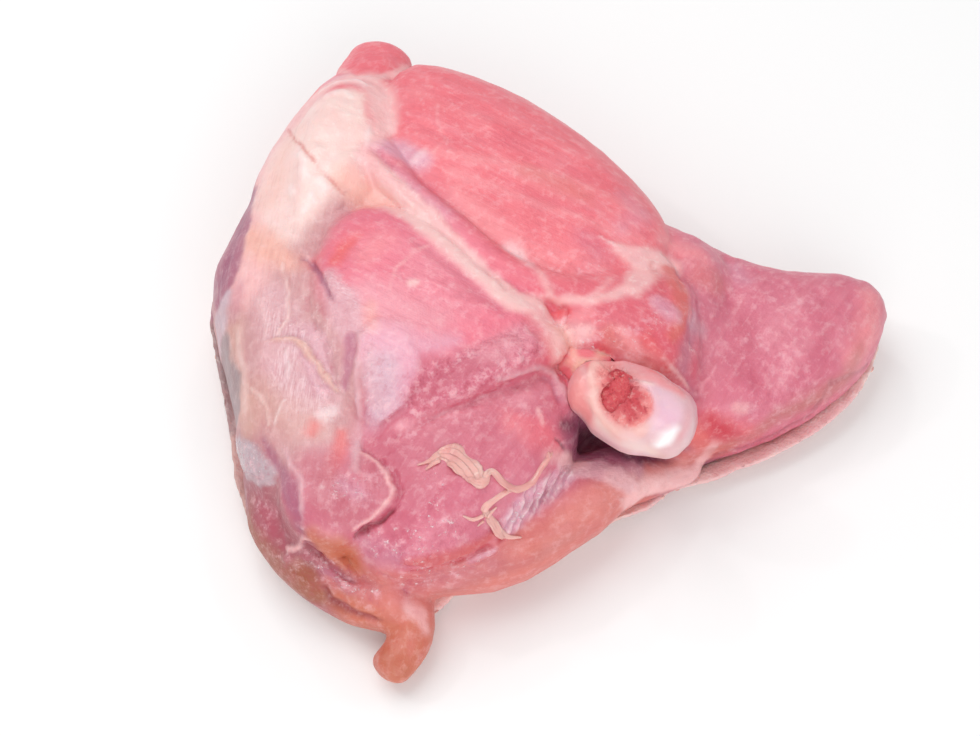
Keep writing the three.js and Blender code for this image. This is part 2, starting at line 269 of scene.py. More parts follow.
# Each muscle: a route through its middle, half widths in millimetres, its tone, and its fibres' way
MUSCLES = {
    "upper": ([(400, 100), (470, 140), (560, 200), (620, 240)], (16, 20, 19, 11), "coral", "falling"),
    "middle": ([(370, 260), (420, 280), (500, 320)], (14, 17, 9), "rosy", "falling"),
    "lower": ([(410, 450), (470, 430), (530, 420)], (14, 17, 12), "lower_rose", "rising"),
    "front": ([(400, 540), (450, 520), (500, 500), (540, 480)], (9, 10, 9, 7), "rose", "rising"),
    "rim": ([(400, 590), (480, 575), (560, 545), (630, 505)], (6, 8, 8, 5), "salmon", "level"),
    "corner": ([(240, 490), (270, 540), (310, 585)], (9, 9, 8), "dusk", "level"),
    "tail": ([(345, 600), (395, 630), (390, 670)], (5, 6, 6), "orange", "upright"),
    "hip": ([(730, 310), (790, 330), (850, 330)], (18, 20, 14), "rose", "rising"),
    "side": ([(290, 160), (250, 260), (270, 360), (310, 430)], (14, 15, 15, 10), "membrane", "upright"),
    "lobe": ([(330, 470), (365, 490)], (8, 8), "rose", "upright"),
    "joint": ([(580, 330), (640, 320), (670, 340)], (8, 11, 9), "deep_coral", "falling"),
    "knob": ([(355, 60), (392, 55)], (5.5, 7), "coral", "level"),
    # The hollow under the bone end is no muscle: its plum tone is painted shadow under the bone
    "hollow": ([(570, 430), (610, 448), (650, 458)], (5, 6, 3), "plum", "level"),
}
WAYS = {"falling": -32, "rising": 57, "upright": 84, "level": 16}
SOFT_BORDER = 2.2

warped = spots + 0.7 * np.stack([noise(spots, 6, seed) for seed in (51, 52, 53)], axis=1)
warped += 0.35 * np.stack([noise(spots, 2.2, seed) for seed in (54, 55, 56)], axis=1)
warped += 0.2 * np.stack([noise(spots, 1.1, seed) for seed in (57, 58, 59)], axis=1)
muscle_reach = np.array(
    [Trail(warped, route, widths, meat_tree).beyond for route, widths, _, _ in MUSCLES.values()]
)
share = np.exp(-(muscle_reach - muscle_reach.min(0)) / SOFT_BORDER)
share /= share.sum(0)
own = dict(zip(MUSCLES, share))
tint = share.T @ np.array([paint(TONES[tone]) for _, _, tone, _ in MUSCLES.values()])
way_share = {
    way: sum(own[name] for name, muscle in MUSCLES.items() if muscle[3] == way) for way in WAYS
}


def along_fibres(along, across, seed):
    """Noise drawn out along the fibres of each muscle."""
    total = np.zeros(len(spots))
    for way, degrees in WAYS.items():
        turn = math.radians(degrees)
        flow = spots[:, 0] * math.cos(turn) + spots[:, 1] * math.sin(turn)
        beside = spots[:, 1] * math.cos(turn) - spots[:, 0] * math.sin(turn)
        grain = np.stack([flow / along, beside / across, spots[:, 2] / across], axis=1)
        total += way_share[way] * noise(grain, 1, seed)
    return total


lift = 0.3 * noise(spots, 11, 1) + 0.14 * noise(spots, 4.5, 2)
bundles = along_fibres(24, 2.6, 3) + 0.5 * along_fibres(12, 1.4, 4)
bundle_depth = (
    0.13 * own["upper"] + 0.1 * own["middle"] + 0.2 * own["lower"] + 0.22 * own["front"]
    + 0.14 * own["hip"] + 0.08 * own["rim"] + 0.1 * own["tail"] + 0.1 * own["lobe"] + 0.1 * own["side"]
)
lift += bundle_depth * bundles + 0.16 * own["hip"] * noise(spots, 2.4, 5)
streak = ramp(bundles, 0.1, 1.1) - ramp(-bundles, 0.1, 1.1)
streak *= 1 - own["side"] - 0.5 * own["middle"]

# What shows on the meat: route in photo pixels, half widths and edge in millimetres, tone, how strongly
# it covers, and how far it rises or sinks
MARKS = {
    "upper_dark_1": ([(450, 140), (500, 140), (545, 132)], (1.5, 2.4, 1.5), 2.0, "deep_coral", 0.5, 0),
    "upper_dark_2": ([(500, 190), (545, 197), (600, 212)], (1.2, 2.2, 1), 1.8, "deep_coral", 0.6, -0.1),
    "upper_light_1": (
        [(435, 152), (500, 164), (560, 178), (640, 215)], (1.2, 1.6, 1.4, 1), 1.4, "light_coral", 0.6, 0.1,
    ),
    "upper_light_2": (
        [(450, 172), (520, 196), (590, 222), (640, 238)], (1.4, 1, 1.2, 1), 1.2, "light_coral", 0.6, 0.1,
    ),
    "upper_light_3": ([(455, 195), (485, 222), (520, 245)], (2.6, 3.4, 1.6), 2.4, "light_coral", 0.7, 0.1),
    "upper_light_4": (
        [(410, 90), (460, 112), (520, 124), (590, 160)], (1.2, 1, 1, 0.8), 1.6, "light_coral", 0.35, 0,
    ),
    "upper_dusk": ([(525, 172), (560, 186), (585, 197)], (1.8, 2.6, 1.5), 2.4, "salmon", 0.5, 0),
    "upper_low": ([(488, 258), (512, 276), (535, 290)], (1.2, 1.8, 1.2), 2.2, "deep_coral", 0.45, 0),
    "upper_end": ([(585, 238), (600, 255), (590, 268)], (2.5, 3, 2), 2.8, "rose", 0.6, 0),
    "upper_film": ([(625, 195), (640, 212), (622, 228)], (2.2, 2.8, 2), 2.4, "lilac", 0.35, 0),
    # Painted shade: the rose, lilac and mauve along the crease beside the raised fat band stand for its
    # shadow
    "crease_painted_shade": ([(400, 160), (432, 196), (458, 226)], (3.6, 4.4, 3.0), 3.0, "rose", 0.5, 0),
    "crease_lilac_painted_shade": ([(400, 172), (424, 196), (446, 214)], (1.8, 2.4, 1.6), 2.2, "lilac", 0.5, 0),
    "upper_crease": (
        [(374, 150), (395, 172), (416, 194), (440, 222), (464, 247), (486, 270), (504, 290)],
        (0.8, 1.3, 1.5, 1.3, 1.1, 0.9, 0.5), 1.2, "mauve", 0.6, -0.8,
    ),
    "lilac_patch": ([(377, 143), (396, 150), (420, 160)], (2.4, 3.8, 2.8), 1.8, "lilac", 0.85, 0),
    "thread_1": (
        [(438, 104), (440, 122), (446, 138), (436, 150), (424, 165)],
        (0.3, 0.5, 0.4, 0.4, 0.2), 0.7, "pink_cream", 0.4, 0.1,
    ),
    "thread_2": ([(446, 138), (450, 150), (444, 160)], (0.3, 0.3, 0.2), 0.6, "pink_cream", 0.35, 0.1),
    # Painted shade: the deep rose strip below the raised fat band
    "under_band_painted_shade": (
        [(415, 240), (450, 265), (480, 295), (505, 312)], (1, 1.4, 1.4, 1), 1.4, "deep_rose", 0.45, -0.3,
    ),
    "fat_band": (
        [(352, 168), (385, 190), (412, 211), (440, 235), (470, 263), (495, 288), (515, 302), (540, 306),
         (570, 302), (602, 303)],
        (4.6, 5.0, 4.4, 3.4, 3.0, 2.8, 3.2, 2.6, 1.3, 1.0), 1.1, "pink_cream", 0.95, 0.4,
    ),
    "fat_band_light": (
        [(385, 190), (412, 214), (440, 240), (470, 266), (500, 294), (530, 308)],
        (2.2, 2.0, 1.6, 1.5, 1.5, 2), 1.6, "cream", 0.5, 0.1,
    ),
    "end_mottle": ([(535, 262), (565, 270), (598, 268)], (3.4, 4.4, 3.4), 3.4, "light_coral", 0.5, 0.4),
    "knee_side": (
        [(300, 120), (262, 180), (248, 235), (246, 290)], (10, 8.5, 6.5, 5), 3.0, "pink_cream", 0.95, 0,
    ),
    "knee_top": (
        [(320, 94), (342, 82), (366, 82), (384, 98), (386, 124), (374, 140)],
        (3.4, 3.8, 4.2, 3.4, 2.8, 2.4), 2.0, "pink_cream", 0.92, 0,
    ),
    "knee_lilac": ([(328, 82), (345, 76)], (1.8, 2), 1.8, "lilac", 0.5, 0),
    "knee_fat": (
        [(348, 100), (338, 128), (324, 155), (316, 190), (304, 218)],
        (5.0, 8.0, 7, 4.4, 2.6), 2.6, "cream", 0.95, 0.3,
    ),
    "knee_crescent": (
        [(316, 96), (332, 87), (352, 83), (370, 89), (380, 105), (384, 130)],
        (1.8, 2.2, 2.2, 2.2), 1.2, "pink_cream", 0.95, 0.3,
    ),
    "knee_pale": (
        [(312, 112), (288, 150), (276, 192), (284, 232)], (4.6, 6, 6.5, 4.6), 3.0, "cream", 0.85, 0,
    ),
    "knee_lump_6": ([(298, 156), (302, 162)], (1.0, 0.9), 0.8, "white", 0.45, 0.3),
    "knee_lump_7": ([(312, 196), (317, 202)], (0.8, 0.8), 0.8, "white", 0.45, 0.3),
    "knee_lump_8": ([(370, 128), (368, 145), (360, 162)], (0.8, 0.8, 0.5), 0.9, "white", 0.5, 0.2),
    "knee_lump_9": ([(328, 98), (344, 92), (354, 98)], (0.7, 0.9, 0.5), 0.8, "white", 0.4, 0.2),
    "knee_lump_1": ([(300, 170), (305, 176)], (1.1, 1.1), 1.0, "white", 0.5, 0.35),
    "knee_lump_2": ([(320, 182), (326, 189)], (1.4, 1.2), 1.0, "white", 0.5, 0.35),
    "knee_lump_3": ([(290, 188), (292, 193)], (0.8, 0.9), 0.8, "white", 0.45, 0.25),
    "knee_lump_4": ([(306, 209), (311, 207)], (0.9, 0.9), 0.9, "white", 0.4, 0.25),
    "knee_lump_5": ([(335, 192), (341, 195)], (0.9, 1.0), 0.9, "white", 0.4, 0.25),
    # Painted light: white laid over the crease round the top of the knee fat to lift its shade
    "knee_crease": (
        [(322, 93), (338, 85), (352, 83), (364, 87)], (0.6, 0.9, 0.9, 0.5), 0.8, "white", 0.6, 0.5,
    ),
    "knee_blush": ([(298, 130), (280, 165), (268, 200)], (2.6, 3.4, 3), 2.8, "peach", 0.4, 0),
    "knee_peach": ([(252, 238), (272, 252), (290, 262)], (3.6, 4, 2.6), 3.0, "peach", 0.85, 0),
    "knee_web": ([(345, 180), (362, 196), (382, 206)], (3.8, 4.2, 3), 2.8, "peach", 0.7, 0),
    "web_pale": ([(364, 154), (380, 170), (398, 187)], (1.8, 1.8, 1.4), 1.2, "pink_cream", 0.85, 0.1),
    "knee_fold": (
        [(288, 128), (303, 150), (320, 170), (345, 195)],
        (0.35, 0.45, 0.45, 0.3), 0.5, "salmon", 0.75, -0.45,
    ),
    "knee_dash_1": ([(356, 186), (346, 191), (338, 197)], (0.25, 0.35, 0.2), 0.4, "dark_red", 0.5, -0.3),
    "knee_dash_2": ([(342, 204), (336, 210)], (0.25, 0.2), 0.35, "dark_red", 0.45, -0.2),
    "knob_border": (
        [(330, 72), (352, 80), (376, 80), (396, 74), (408, 68)],
        (1.4, 1.5, 1.5, 1.4, 1), 0.8, "pink_cream", 0.85, 0.2,
    ),
    "middle_arc": (
        [(391, 292), (397, 268), (415, 250), (440, 240)],
        (0.3, 0.4, 0.4, 0.3), 0.6, "pink_cream", 0.6, 0.2,
    ),
    "middle_mound": ([(400, 300), (430, 275), (460, 295)], (4, 6, 4), 4.0, "light_rose", 0.35, 0.2),
    "middle_spot": ([(412, 284), (418, 282)], (0.9, 0.9), 0.8, "cream", 0.7, 0.2),
    "orange_spot": ([(336, 259), (345, 246), (358, 235)], (1.8, 1.9, 0.7), 1.8, "bright_red", 0.85, -0.2),
    "middle_left": ([(365, 255), (380, 240)], (3, 3), 3.0, "light_coral", 0.6, 0),
    "middle_edge": (
        [(312, 262), (330, 246), (350, 232), (372, 226)], (1.6, 1.6, 1.4, 1), 1.8, "coral", 0.5, 0,
    ),
    "silver_arm": ([(390, 340), (425, 342), (455, 340)], (4.4, 3.2, 1.6), 2.2, "silver", 0.85, 0.1),
    "silver": (
        [(385, 345), (394, 362), (388, 392), (372, 425), (365, 438)],
        (6.4, 6.2, 4.6, 1.6, 0.6), 1.4, "silver", 0.92, 0.4,
    ),
    "silver_white": ([(382, 368), (384, 392), (372, 422)], (4, 3.6, 1.6), 2.4, "grey_lilac", 0.6, 0),
    "silver_glow": ([(368, 296), (398, 312), (436, 318)], (5, 5, 4), 3.4, "light_rose", 0.8, 0),
    "silver_shade": ([(370, 350), (374, 395)], (1.6, 1.6), 2.0, "film", 0.6, 0),
    "film_over": ([(328, 278), (341, 300), (352, 330)], (2.2, 4, 3.8), 1.6, "film", 0.88, 0.1),
    "film_blush": ([(370, 305), (374, 328)], (1.4, 1.6), 1.8, "peach", 0.5, 0),
    "silver_edge": (
        [(364, 438), (392, 414), (420, 386), (444, 366), (478, 353)],
        (0.4, 0.6, 0.6, 0.5, 0.3), 0.5, "deep_rose", 0.8, -0.4,
    ),
    "rough_ground": (
        [(415, 402), (440, 382), (470, 368), (502, 352), (532, 338)],
        (3, 4.8, 5.2, 5.2, 4.4), 1.4, "rose", 0.9, 0.2,
    ),
    "rough_dark": (
        [(422, 396), (445, 378), (478, 366), (502, 354)], (2.2, 2.8, 2.6, 2), 1.8, "deep_rose", 0.85, -0.3,
    ),
    "rough_pale": ([(488, 352), (515, 340), (538, 334)], (3.4, 4.4, 3.4), 2.4, "light_rose", 0.5, 0),
    "lower_crease": (
        [(396, 437), (430, 420), (460, 405), (490, 393), (515, 380)],
        (0.4, 0.6, 0.6, 0.5, 0.3), 0.7, "deep_rose", 0.8, -0.7,
    ),
    "lower_light": (
        [(440, 416), (470, 409), (500, 401), (528, 392)], (1.4, 2, 2, 1.4), 1.8, "light_rose", 0.45, 0.1,
    ),
    "lower_orange": ([(512, 422), (538, 434), (556, 446)], (3, 3.6, 2), 2.2, "coral", 0.7, 0),
    "lower_spot": ([(402, 426), (412, 424)], (1.4, 1.4), 1.2, "light_rose", 0.8, 0.2),
    "lower_glint": ([(537, 410), (541, 424)], (0.6, 0.5), 0.5, "pink_cream", 0.7, 0.2),
    "hook": ([(556, 441), (563, 446), (568, 456)], (0.25, 0.35, 0.2), 0.4, "dark_plum", 0.8, -0.5),
    "lower_left": (
        [(374, 436), (392, 462), (404, 500), (396, 535)], (2.6, 3.4, 3.4, 3), 2.8, "deep_rose", 0.65, -0.2,
    ),
    "lower_mid": ([(430, 500), (470, 520), (490, 505)], (3, 4, 3), 4.0, "deep_rose", 0.4, 0),
    "front_left": ([(370, 550), (395, 560)], (3, 3), 3.0, "mauve", 0.6, 0),
    "pale_fold": (
        [(498, 379), (520, 374), (540, 367), (553, 371), (560, 385), (563, 404)],
        (0.4, 0.6, 0.9, 0.9, 0.7, 0.5), 0.6, "film", 0.85, 0.5,
    ),
    "fold_shade": ([(545, 378), (554, 384), (558, 400)], (0.5, 0.6, 0.5), 0.6, "mauve", 0.7, -0.4),
    "film_left": ([(272, 305), (292, 350), (306, 395), (320, 440)], (5, 7.5, 7, 4), 2.4, "film", 0.6, 0),
    "film_lilac": ([(305, 335), (322, 352), (318, 385)], (3, 3.4, 2.6), 3.0, "lilac", 0.4, 0),
    "film_peach": ([(255, 395), (285, 412), (316, 430)], (4, 4.4, 4), 3.6, "tan", 0.55, 0),
    "film_cream": ([(232, 330), (236, 380), (246, 425)], (3.4, 4, 4), 2.8, "tan", 0.75, 0),
    "film_ridge": (
        [(283, 265), (291, 290), (290, 315), (277, 337)], (0.3, 0.5, 0.5, 0.3), 0.5, "cream", 0.6, 0.4,
    ),
    "film_drape_1": ([(304, 285), (322, 318), (334, 352)], (0.4, 0.8, 0.5), 0.8, "cream", 0.25, 0.2),
    "film_drape_2": ([(258, 300), (266, 330), (262, 356)], (0.5, 0.8, 0.5), 1.0, "cream", 0.3, 0.2),
    "vein": (
        [(268, 341), (286, 342), (303, 348), (318, 362), (330, 380), (337, 390)],
        (0.25, 0.45, 0.8, 0.85, 0.7, 0.35), 0.45, "vein", 0.9, 0.75,
    ),
    "vein_light": (
        [(284, 341), (303, 345), (318, 358), (330, 375)], (0.2, 0.3, 0.3, 0.2), 0.35, "cream", 0.6, 0.1,
    ),
    "vein_shade": (
        [(300, 353), (313, 365), (325, 382), (333, 394)], (0.3, 0.35, 0.35, 0.2), 0.4, "mauve", 0.4, -0.3,
    ),
    "film_fold_1": (
        [(243, 384), (256, 394), (266, 410), (268, 426)], (0.3, 0.4, 0.4, 0.3), 0.4, "cream", 0.5, 0.4,
    ),
    "film_fold_2": ([(287, 352), (290, 366), (288, 376)], (0.4, 0.5, 0.3), 0.4, "white", 0.5, 0.4),
    "film_fold_3": ([(285, 398), (279, 412), (276, 424)], (0.3, 0.4, 0.3), 0.4, "white", 0.5, 0.35),
    "film_fold_4": ([(322, 395), (312, 375), (306, 358)], (0.3, 0.4, 0.3), 0.5, "lilac", 0.5, -0.3),
    "orange_streak": ([(340, 432), (338, 452), (328, 474)], (1.3, 1.9, 2.2), 1.4, "bright_red", 0.75, -0.1),
    "film_low": ([(312, 470), (330, 490)], (3, 3), 2.6, "light_rose", 0.6, 0),
    "lobe_shade": ([(318, 465), (328, 490), (340, 512)], (5, 6, 5), 3.6, "lobe", 0.85, 0),
    "red_spot": ([(309, 432), (314, 426)], (1.2, 1.2), 1.6, "bright_red", 0.65, -0.1),
    "glint_spot": ([(323, 416), (333, 410)], (1.2, 1.4), 1.2, "white", 0.5, 0.1),
    "purple_streak": ([(350, 338), (349, 360), (344, 386)], (1.5, 1.7, 0.8), 0.9, "mauve", 0.85, -0.4),
    "cream_ridge": (
        [(360, 335), (358, 360), (358, 400), (361, 432), (355, 470)],
        (0.5, 0.7, 0.7, 0.7, 0.8), 0.6, "film", 0.85, 0.4,
    ),
    "slit": (
        [(303, 257), (312, 264), (323, 281), (334, 302)], (0.4, 0.75, 0.85, 0.3), 0.5, "wine", 0.85, -0.8,
    ),
    "edge_purple": (
        [(251, 194), (241, 226), (233, 256), (225, 282), (219, 299)],
        (1.3, 1.9, 2.5, 2.6, 1.6), 0.9, "wine", 0.92, -0.2,
    ),
    "edge_outer": (
        [(250, 190), (236, 224), (225, 254), (217, 280), (213, 298)],
        (1.2, 2.2, 3.0, 3.0, 2.0), 1.2, "wine", 0.85, -0.1,
    ),
    "edge_dark": (
        [(247, 200), (236, 232), (227, 258), (219, 284), (216, 298)],
        (0.6, 1.0, 1.2, 1.0, 0.6), 0.9, "plum", 0.5, -0.1,
    ),
    "edge_grey": (
        [(222, 350), (226, 375), (229, 400), (232, 424)], (1.6, 2.0, 2.0, 1.4), 0.7, "grey", 0.9, -0.1,
    ),
    "edge_dusk": ([(240, 284), (236, 300), (232, 318)], (1.6, 2.2, 1.6), 1.6, "mauve", 0.45, 0),
    "edge_white": ([(226, 297), (221, 312), (222, 330)], (1.6, 1.8, 1.4), 0.9, "grey_lilac", 0.8, 0.1),
    "edge_cream": ([(238, 330), (243, 370), (246, 410)], (1, 1.2, 1), 1.2, "cream", 0.5, 0.2),
    "corner_dark": (
        [(264, 442), (276, 462), (287, 484), (296, 508), (302, 532)],
        (0.7, 1.6, 2.3, 1.7, 0.8), 1.2, "wine", 0.8, -0.4,
    ),
    "corner_edge": (
        [(285, 450), (297, 475), (301, 500), (304, 528)], (0.6, 0.7, 0.7, 0.5), 0.6, "film", 0.85, 0.5,
    ),
    "corner_rose": ([(262, 505), (270, 525)], (3.0, 3.0), 3.0, "deep_rose", 0.4, 0),
    "corner_brown": (
        [(250, 528), (264, 552), (284, 576), (312, 594)], (3.4, 4.4, 4.6, 3), 2.4, "rust", 0.85, 0,
    ),
    "corner_orange": ([(298, 566), (308, 578), (322, 590)], (2.2, 3.2, 2.4), 1.8, "rust", 0.9, 0),
    "corner_grey": ([(240, 500), (250, 525)], (1.2, 1.4), 1.8, "brown", 0.4, 0),
    "grey_film": ([(238, 448), (252, 460), (268, 472)], (3.4, 3.8, 2.0), 0.9, "mist", 0.95, 0.3),
    "grey_film_edge": (
        [(240, 476), (252, 478), (262, 484), (274, 480)], (0.7, 0.9, 0.9, 0.5), 0.5, "mist", 0.8, 0.2,
    ),
    "lobe_lilac": ([(345, 486), (358, 492), (366, 498)], (1.6, 1.8, 1.2), 1.8, "lilac", 0.55, 0),
    "lobe_glint": ([(321, 486), (324, 488)], (0.3, 0.3), 0.5, "white", 0.5, 0.1),
    "lobe_ridge": (
        [(357, 400), (358, 430), (354, 450), (355, 472)], (0.5, 0.8, 0.8, 0.6), 0.8, "film", 0.8, 0.3,
    ),
    "lobe_body": (
        [(362, 468), (378, 482), (380, 496), (366, 512), (350, 524)],
        (3, 3.4, 3.4, 3.2, 2), 1.8, "lobe", 0.6, 0.6,
    ),
    # Painted shadow: the dark rose and dark red in the gap under the side lobe's overhanging edge
    "lobe_gap": (
        [(360, 448), (380, 460), (394, 474), (400, 490), (395, 508), (377, 526), (358, 538)],
        (0.2, 0.3, 0.4, 0.5, 0.6, 0.7, 0.5), 0.5, "deep_rose", 0.75, -1.0,
    ),
    "lobe_gap_painted_shadow": ([(393, 512), (376, 527), (357, 539)], (0.3, 0.5, 0.5), 0.5, "dark_red", 0.85, -0.6),
    "lobe_rim": (
        [(360, 455), (376, 462), (388, 475), (393, 490), (388, 505), (370, 521), (353, 532)],
        (0.35, 0.45, 0.5, 0.5, 0.5, 0.5, 0.4), 0.5, "pink_cream", 0.9, 0.4,
    ),
    "lip": ([(314, 535), (333, 546), (349, 558)], (1.6, 3.8, 4.0), 1.8, "amber", 0.95, 0.8),
    "lip_light": ([(312, 526), (326, 532), (340, 540)], (0.5, 0.8, 0.5), 1.4, "peach", 0.35, 0.1),
    "lip_rim": (
        [(289, 548), (297, 546), (304, 538), (313, 540)],
        (0.9, 0.6, 0.6, 0.4), 0.5, "pink_cream", 0.85, 0.6,
    ),
    "lip_fill": ([(343, 558), (350, 561)], (0.9, 1.0), 1.6, "amber", 0.95, 0.8),
    # Painted shadow: the dark red line under the overhanging lip fold
    "lip_gap": (
        [(304, 546), (319, 557), (337, 570), (354, 582)], (0.5, 1.0, 1.1, 0.5), 0.6, "dark_red", 0.7, -1.3,
    ),
    "below_lip": ([(328, 574), (347, 587), (370, 594)], (2.0, 2.4, 2), 2.0, "mauve", 0.7, 0),
    "brown_band": ([(298, 588), (322, 598), (345, 610)], (2, 1.8, 1.4), 1.4, "rust", 0.6, 0),
    "tail_root": (
        [(325, 588), (332, 601), (350, 611), (372, 618), (398, 621)],
        (0.5, 1.0, 1.1, 0.9, 0.3), 0.7, "dark_red", 0.75, -0.9,
    ),
    "tail_orange": ([(335, 592), (360, 606), (385, 614)], (0.8, 1.2, 1), 1.4, "orange", 0.7, 0),
    "tail_ridge": (
        [(330, 580), (360, 592), (386, 604), (402, 618)], (1.2, 1.6, 1.8, 1.6), 1.4, "salmon", 0.6, 0.2,
    ),
    "tail_web": ([(408, 606), (420, 614), (426, 628)], (1.6, 2, 1.2), 1.4, "pink_cream", 0.8, 0),
    "tail_dark": ([(384, 664), (402, 672)], (3, 3), 3.0, "brown", 0.4, 0),
    "rim_brown": ([(430, 602), (500, 592), (560, 572), (600, 545)], (1.2, 1.6, 1.6, 1), 2.0, "clay", 0.55, 0),
    "rim_coral": ([(570, 515), (600, 500), (625, 492)], (4, 4, 2.4), 3.0, "rim_pink", 0.75, 0),
    "rim_rose": ([(410, 585), (450, 575), (490, 560)], (3, 4, 3), 4.0, "mauve", 0.45, 0),
    "sheen_1": ([(468, 560), (482, 555), (496, 549)], (0.9, 1.2, 0.9), 1.0, "lilac", 0.6, 0.1),
    "sheen_2": (
        [(512, 524), (526, 505), (546, 487), (566, 474)], (2.6, 3.4, 3.4, 2.2), 1.2, "lilac", 0.85, 0.3,
    ),
    "sheen_3": (
        [(562, 462), (590, 468), (618, 478), (636, 486)], (2.4, 2.8, 2.6, 1.4), 0.9, "film", 0.9, 0.25,
    ),
    "front_cream": ([(545, 456), (562, 458), (580, 464)], (1.4, 1.8, 1.6), 1.4, "pink_cream", 0.6, 0.1),
    "red_fold": (
        [(408, 560), (428, 560), (450, 554), (478, 542), (500, 530)],
        (1.4, 2.0, 1.8, 1.4, 0.7), 0.9, "brick", 0.8, 0.9,
    ),
    # Painted shadow: the dark red line in the gap under the red fold's edge
    "red_gap": (
        [(410, 572), (432, 569), (450, 564), (470, 556), (490, 546), (508, 535)],
        (0.3, 0.6, 0.7, 0.7, 0.6, 0.3), 0.5, "blood", 0.8, -0.9,
    ),
    "rim_crease": ([(380, 573), (395, 580), (408, 592)], (0.3, 0.4, 0.3), 0.6, "deep_rose", 0.8, -0.6),
    "rim_end": (
        [(628, 500), (645, 488), (662, 476), (682, 466)], (2.4, 2.6, 2.2, 1.6), 1.4, "pink_cream", 0.9, 0,
    ),
    "hollow_link": ([(612, 480), (640, 478), (660, 474)], (2, 2.6, 2), 1.8, "pink_cream", 0.55, 0),
    # Painted shadow: the dark plum and the mauve floor of the hollow under the overhanging bone end
    "hollow_painted_shadow": (
        [(563, 425), (590, 440), (625, 456), (668, 462)], (1.2, 2.2, 1.6, 1.0), 1.4, "dark_plum", 0.85, 0,
    ),
    "hollow_floor_painted_shade": ([(575, 450), (602, 462), (640, 472)], (1.2, 1.8, 1.4), 1.6, "mauve", 0.6, 0),
    "hollow_red": ([(650, 468), (690, 457), (725, 449)], (1.6, 3.2, 3.0), 1.8, "salmon", 0.85, 0),
    "hip_corner": ([(684, 428), (698, 440), (716, 448)], (2.4, 3.2, 2), 2.0, "fin", 0.9, 0),
    "hollow_lip": (
        [(640, 494), (668, 482), (700, 472), (735, 460)], (1.8, 2.4, 2.2, 1.2), 1.0, "pink_cream", 0.92, 0,
    ),
    "hip_groove": (
        [(692, 325), (688, 350), (684, 375), (694, 395)], (1.6, 2.6, 2.4, 1.4), 2.0, "mauve", 0.75, -0.7,
    ),
    "hip_grey": ([(690, 315), (700, 330)], (2.4, 1.8), 2.0, "grey_lilac", 0.5, 0),
    "hip_orange": ([(698, 275), (718, 285)], (3, 3), 2.6, "salmon", 0.5, 0.2),
    "hip_link": ([(662, 240), (682, 250), (700, 258)], (3, 3.4, 2.6), 3.0, "light_coral", 0.8, 0),
    "hip_red_edge": ([(764, 264), (786, 269)], (1.3, 0.9), 1.2, "bright_red", 0.75, 0),
    "hip_lilac": ([(734, 268), (746, 282)], (1.8, 1.8), 1.8, "lilac", 0.45, 0),
    "hip_dark_1": ([(738, 305), (745, 340), (735, 372)], (2.4, 3, 2.4), 3.4, "deep_rose", 0.5, -0.1),
    "hip_dark_2": ([(752, 365), (757, 388)], (1.2, 1.4), 1.6, "deep_rose", 0.6, -0.1),
    "hip_dark_3": ([(826, 325), (824, 355)], (1.4, 1.6), 2.0, "deep_rose", 0.5, -0.1),
    "hip_light_1": ([(770, 340), (782, 322), (800, 300)], (2.4, 2.6, 1.6), 2.6, "light_rose", 0.5, 0.1),
    "hip_light_2": ([(780, 385), (792, 365), (808, 335)], (1.8, 2, 1.4), 2.2, "light_rose", 0.5, 0.1),
    "hip_pale_spot": ([(736, 407), (744, 409)], (1.2, 1.2), 1.0, "pink_cream", 0.6, 0.1),
    "hip_halo": ([(702, 428), (726, 430), (752, 434)], (2.6, 3.6, 2.4), 3.0, "bright_red", 0.6, 0),
    "hip_blood": ([(712, 424), (722, 431), (732, 436)], (2.2, 3.0, 2.0), 2.2, "blood", 0.95, -0.1),
    "hip_outer": ([(872, 300), (870, 326), (856, 356)], (3, 4, 3.4), 3.2, "light_coral", 0.85, 0),
    "hip_low": (
        [(860, 350), (845, 380), (818, 397), (778, 416), (745, 440), (710, 450)],
        (1.5, 2.8, 3, 2.4, 1.8, 1.6), 2.6, "clay", 0.75, 0,
    ),
    # Painted shadow: the dark line where the hip's lower edge meets the skin below it
    "hip_contact_shadow": (
        [(868, 365), (845, 393), (810, 415), (780, 432), (750, 446), (715, 455)],
        (0.5, 0.7, 0.7, 0.7, 0.7, 0.5), 0.9, "dusk", 0.7, -0.3,
    ),
    "hip_cord": ([(700, 395), (708, 378), (715, 366)], (0.5, 0.5, 0.3), 0.6, "light_rose", 0.8, 0.3),
    "joint_red": ([(610, 315), (632, 318), (650, 328)], (3, 3.4, 2.6), 2.4, "deep_coral", 0.7, 0),
    "joint_muscle": ([(608, 300), (636, 306), (650, 325)], (2.6, 3.4, 2.4), 2.6, "deep_coral", 0.6, 0),
    "joint_cream": (
        [(536, 314), (552, 328), (570, 336), (588, 332)],
        (2.6, 3.0, 3.4, 2.0), 1.6, "pink_cream", 0.85, 0.3,
    ),
    "joint_peach": ([(556, 340), (575, 350), (596, 352)], (3.4, 3.4, 2.2), 2.0, "peach", 0.7, 0.3),
    "joint_pink": ([(600, 300), (590, 312), (578, 318)], (1.6, 2, 1.4), 1.4, "light_coral", 0.6, 0),
    "joint_orange": ([(612, 335), (632, 350), (652, 366)], (2.6, 3, 2), 1.8, "salmon", 0.7, 0.1),
    "joint_band": ([(548, 336), (560, 355), (570, 378)], (2.2, 2.6, 2.0), 1.3, "pink_cream", 0.8, 0.2),
    "joint_side": ([(604, 350), (586, 366)], (1.8, 1.8), 1.4, "bright_red", 0.5, 0),
    "joint_torn": ([(528, 322), (540, 334), (546, 350)], (1.6, 2.0, 1.6), 1.2, "deep_coral", 0.55, -0.2),
    "joint_pit": ([(556, 311), (567, 309), (566, 321)], (0.4, 0.6, 0.4), 0.5, "blood", 0.8, -0.8),
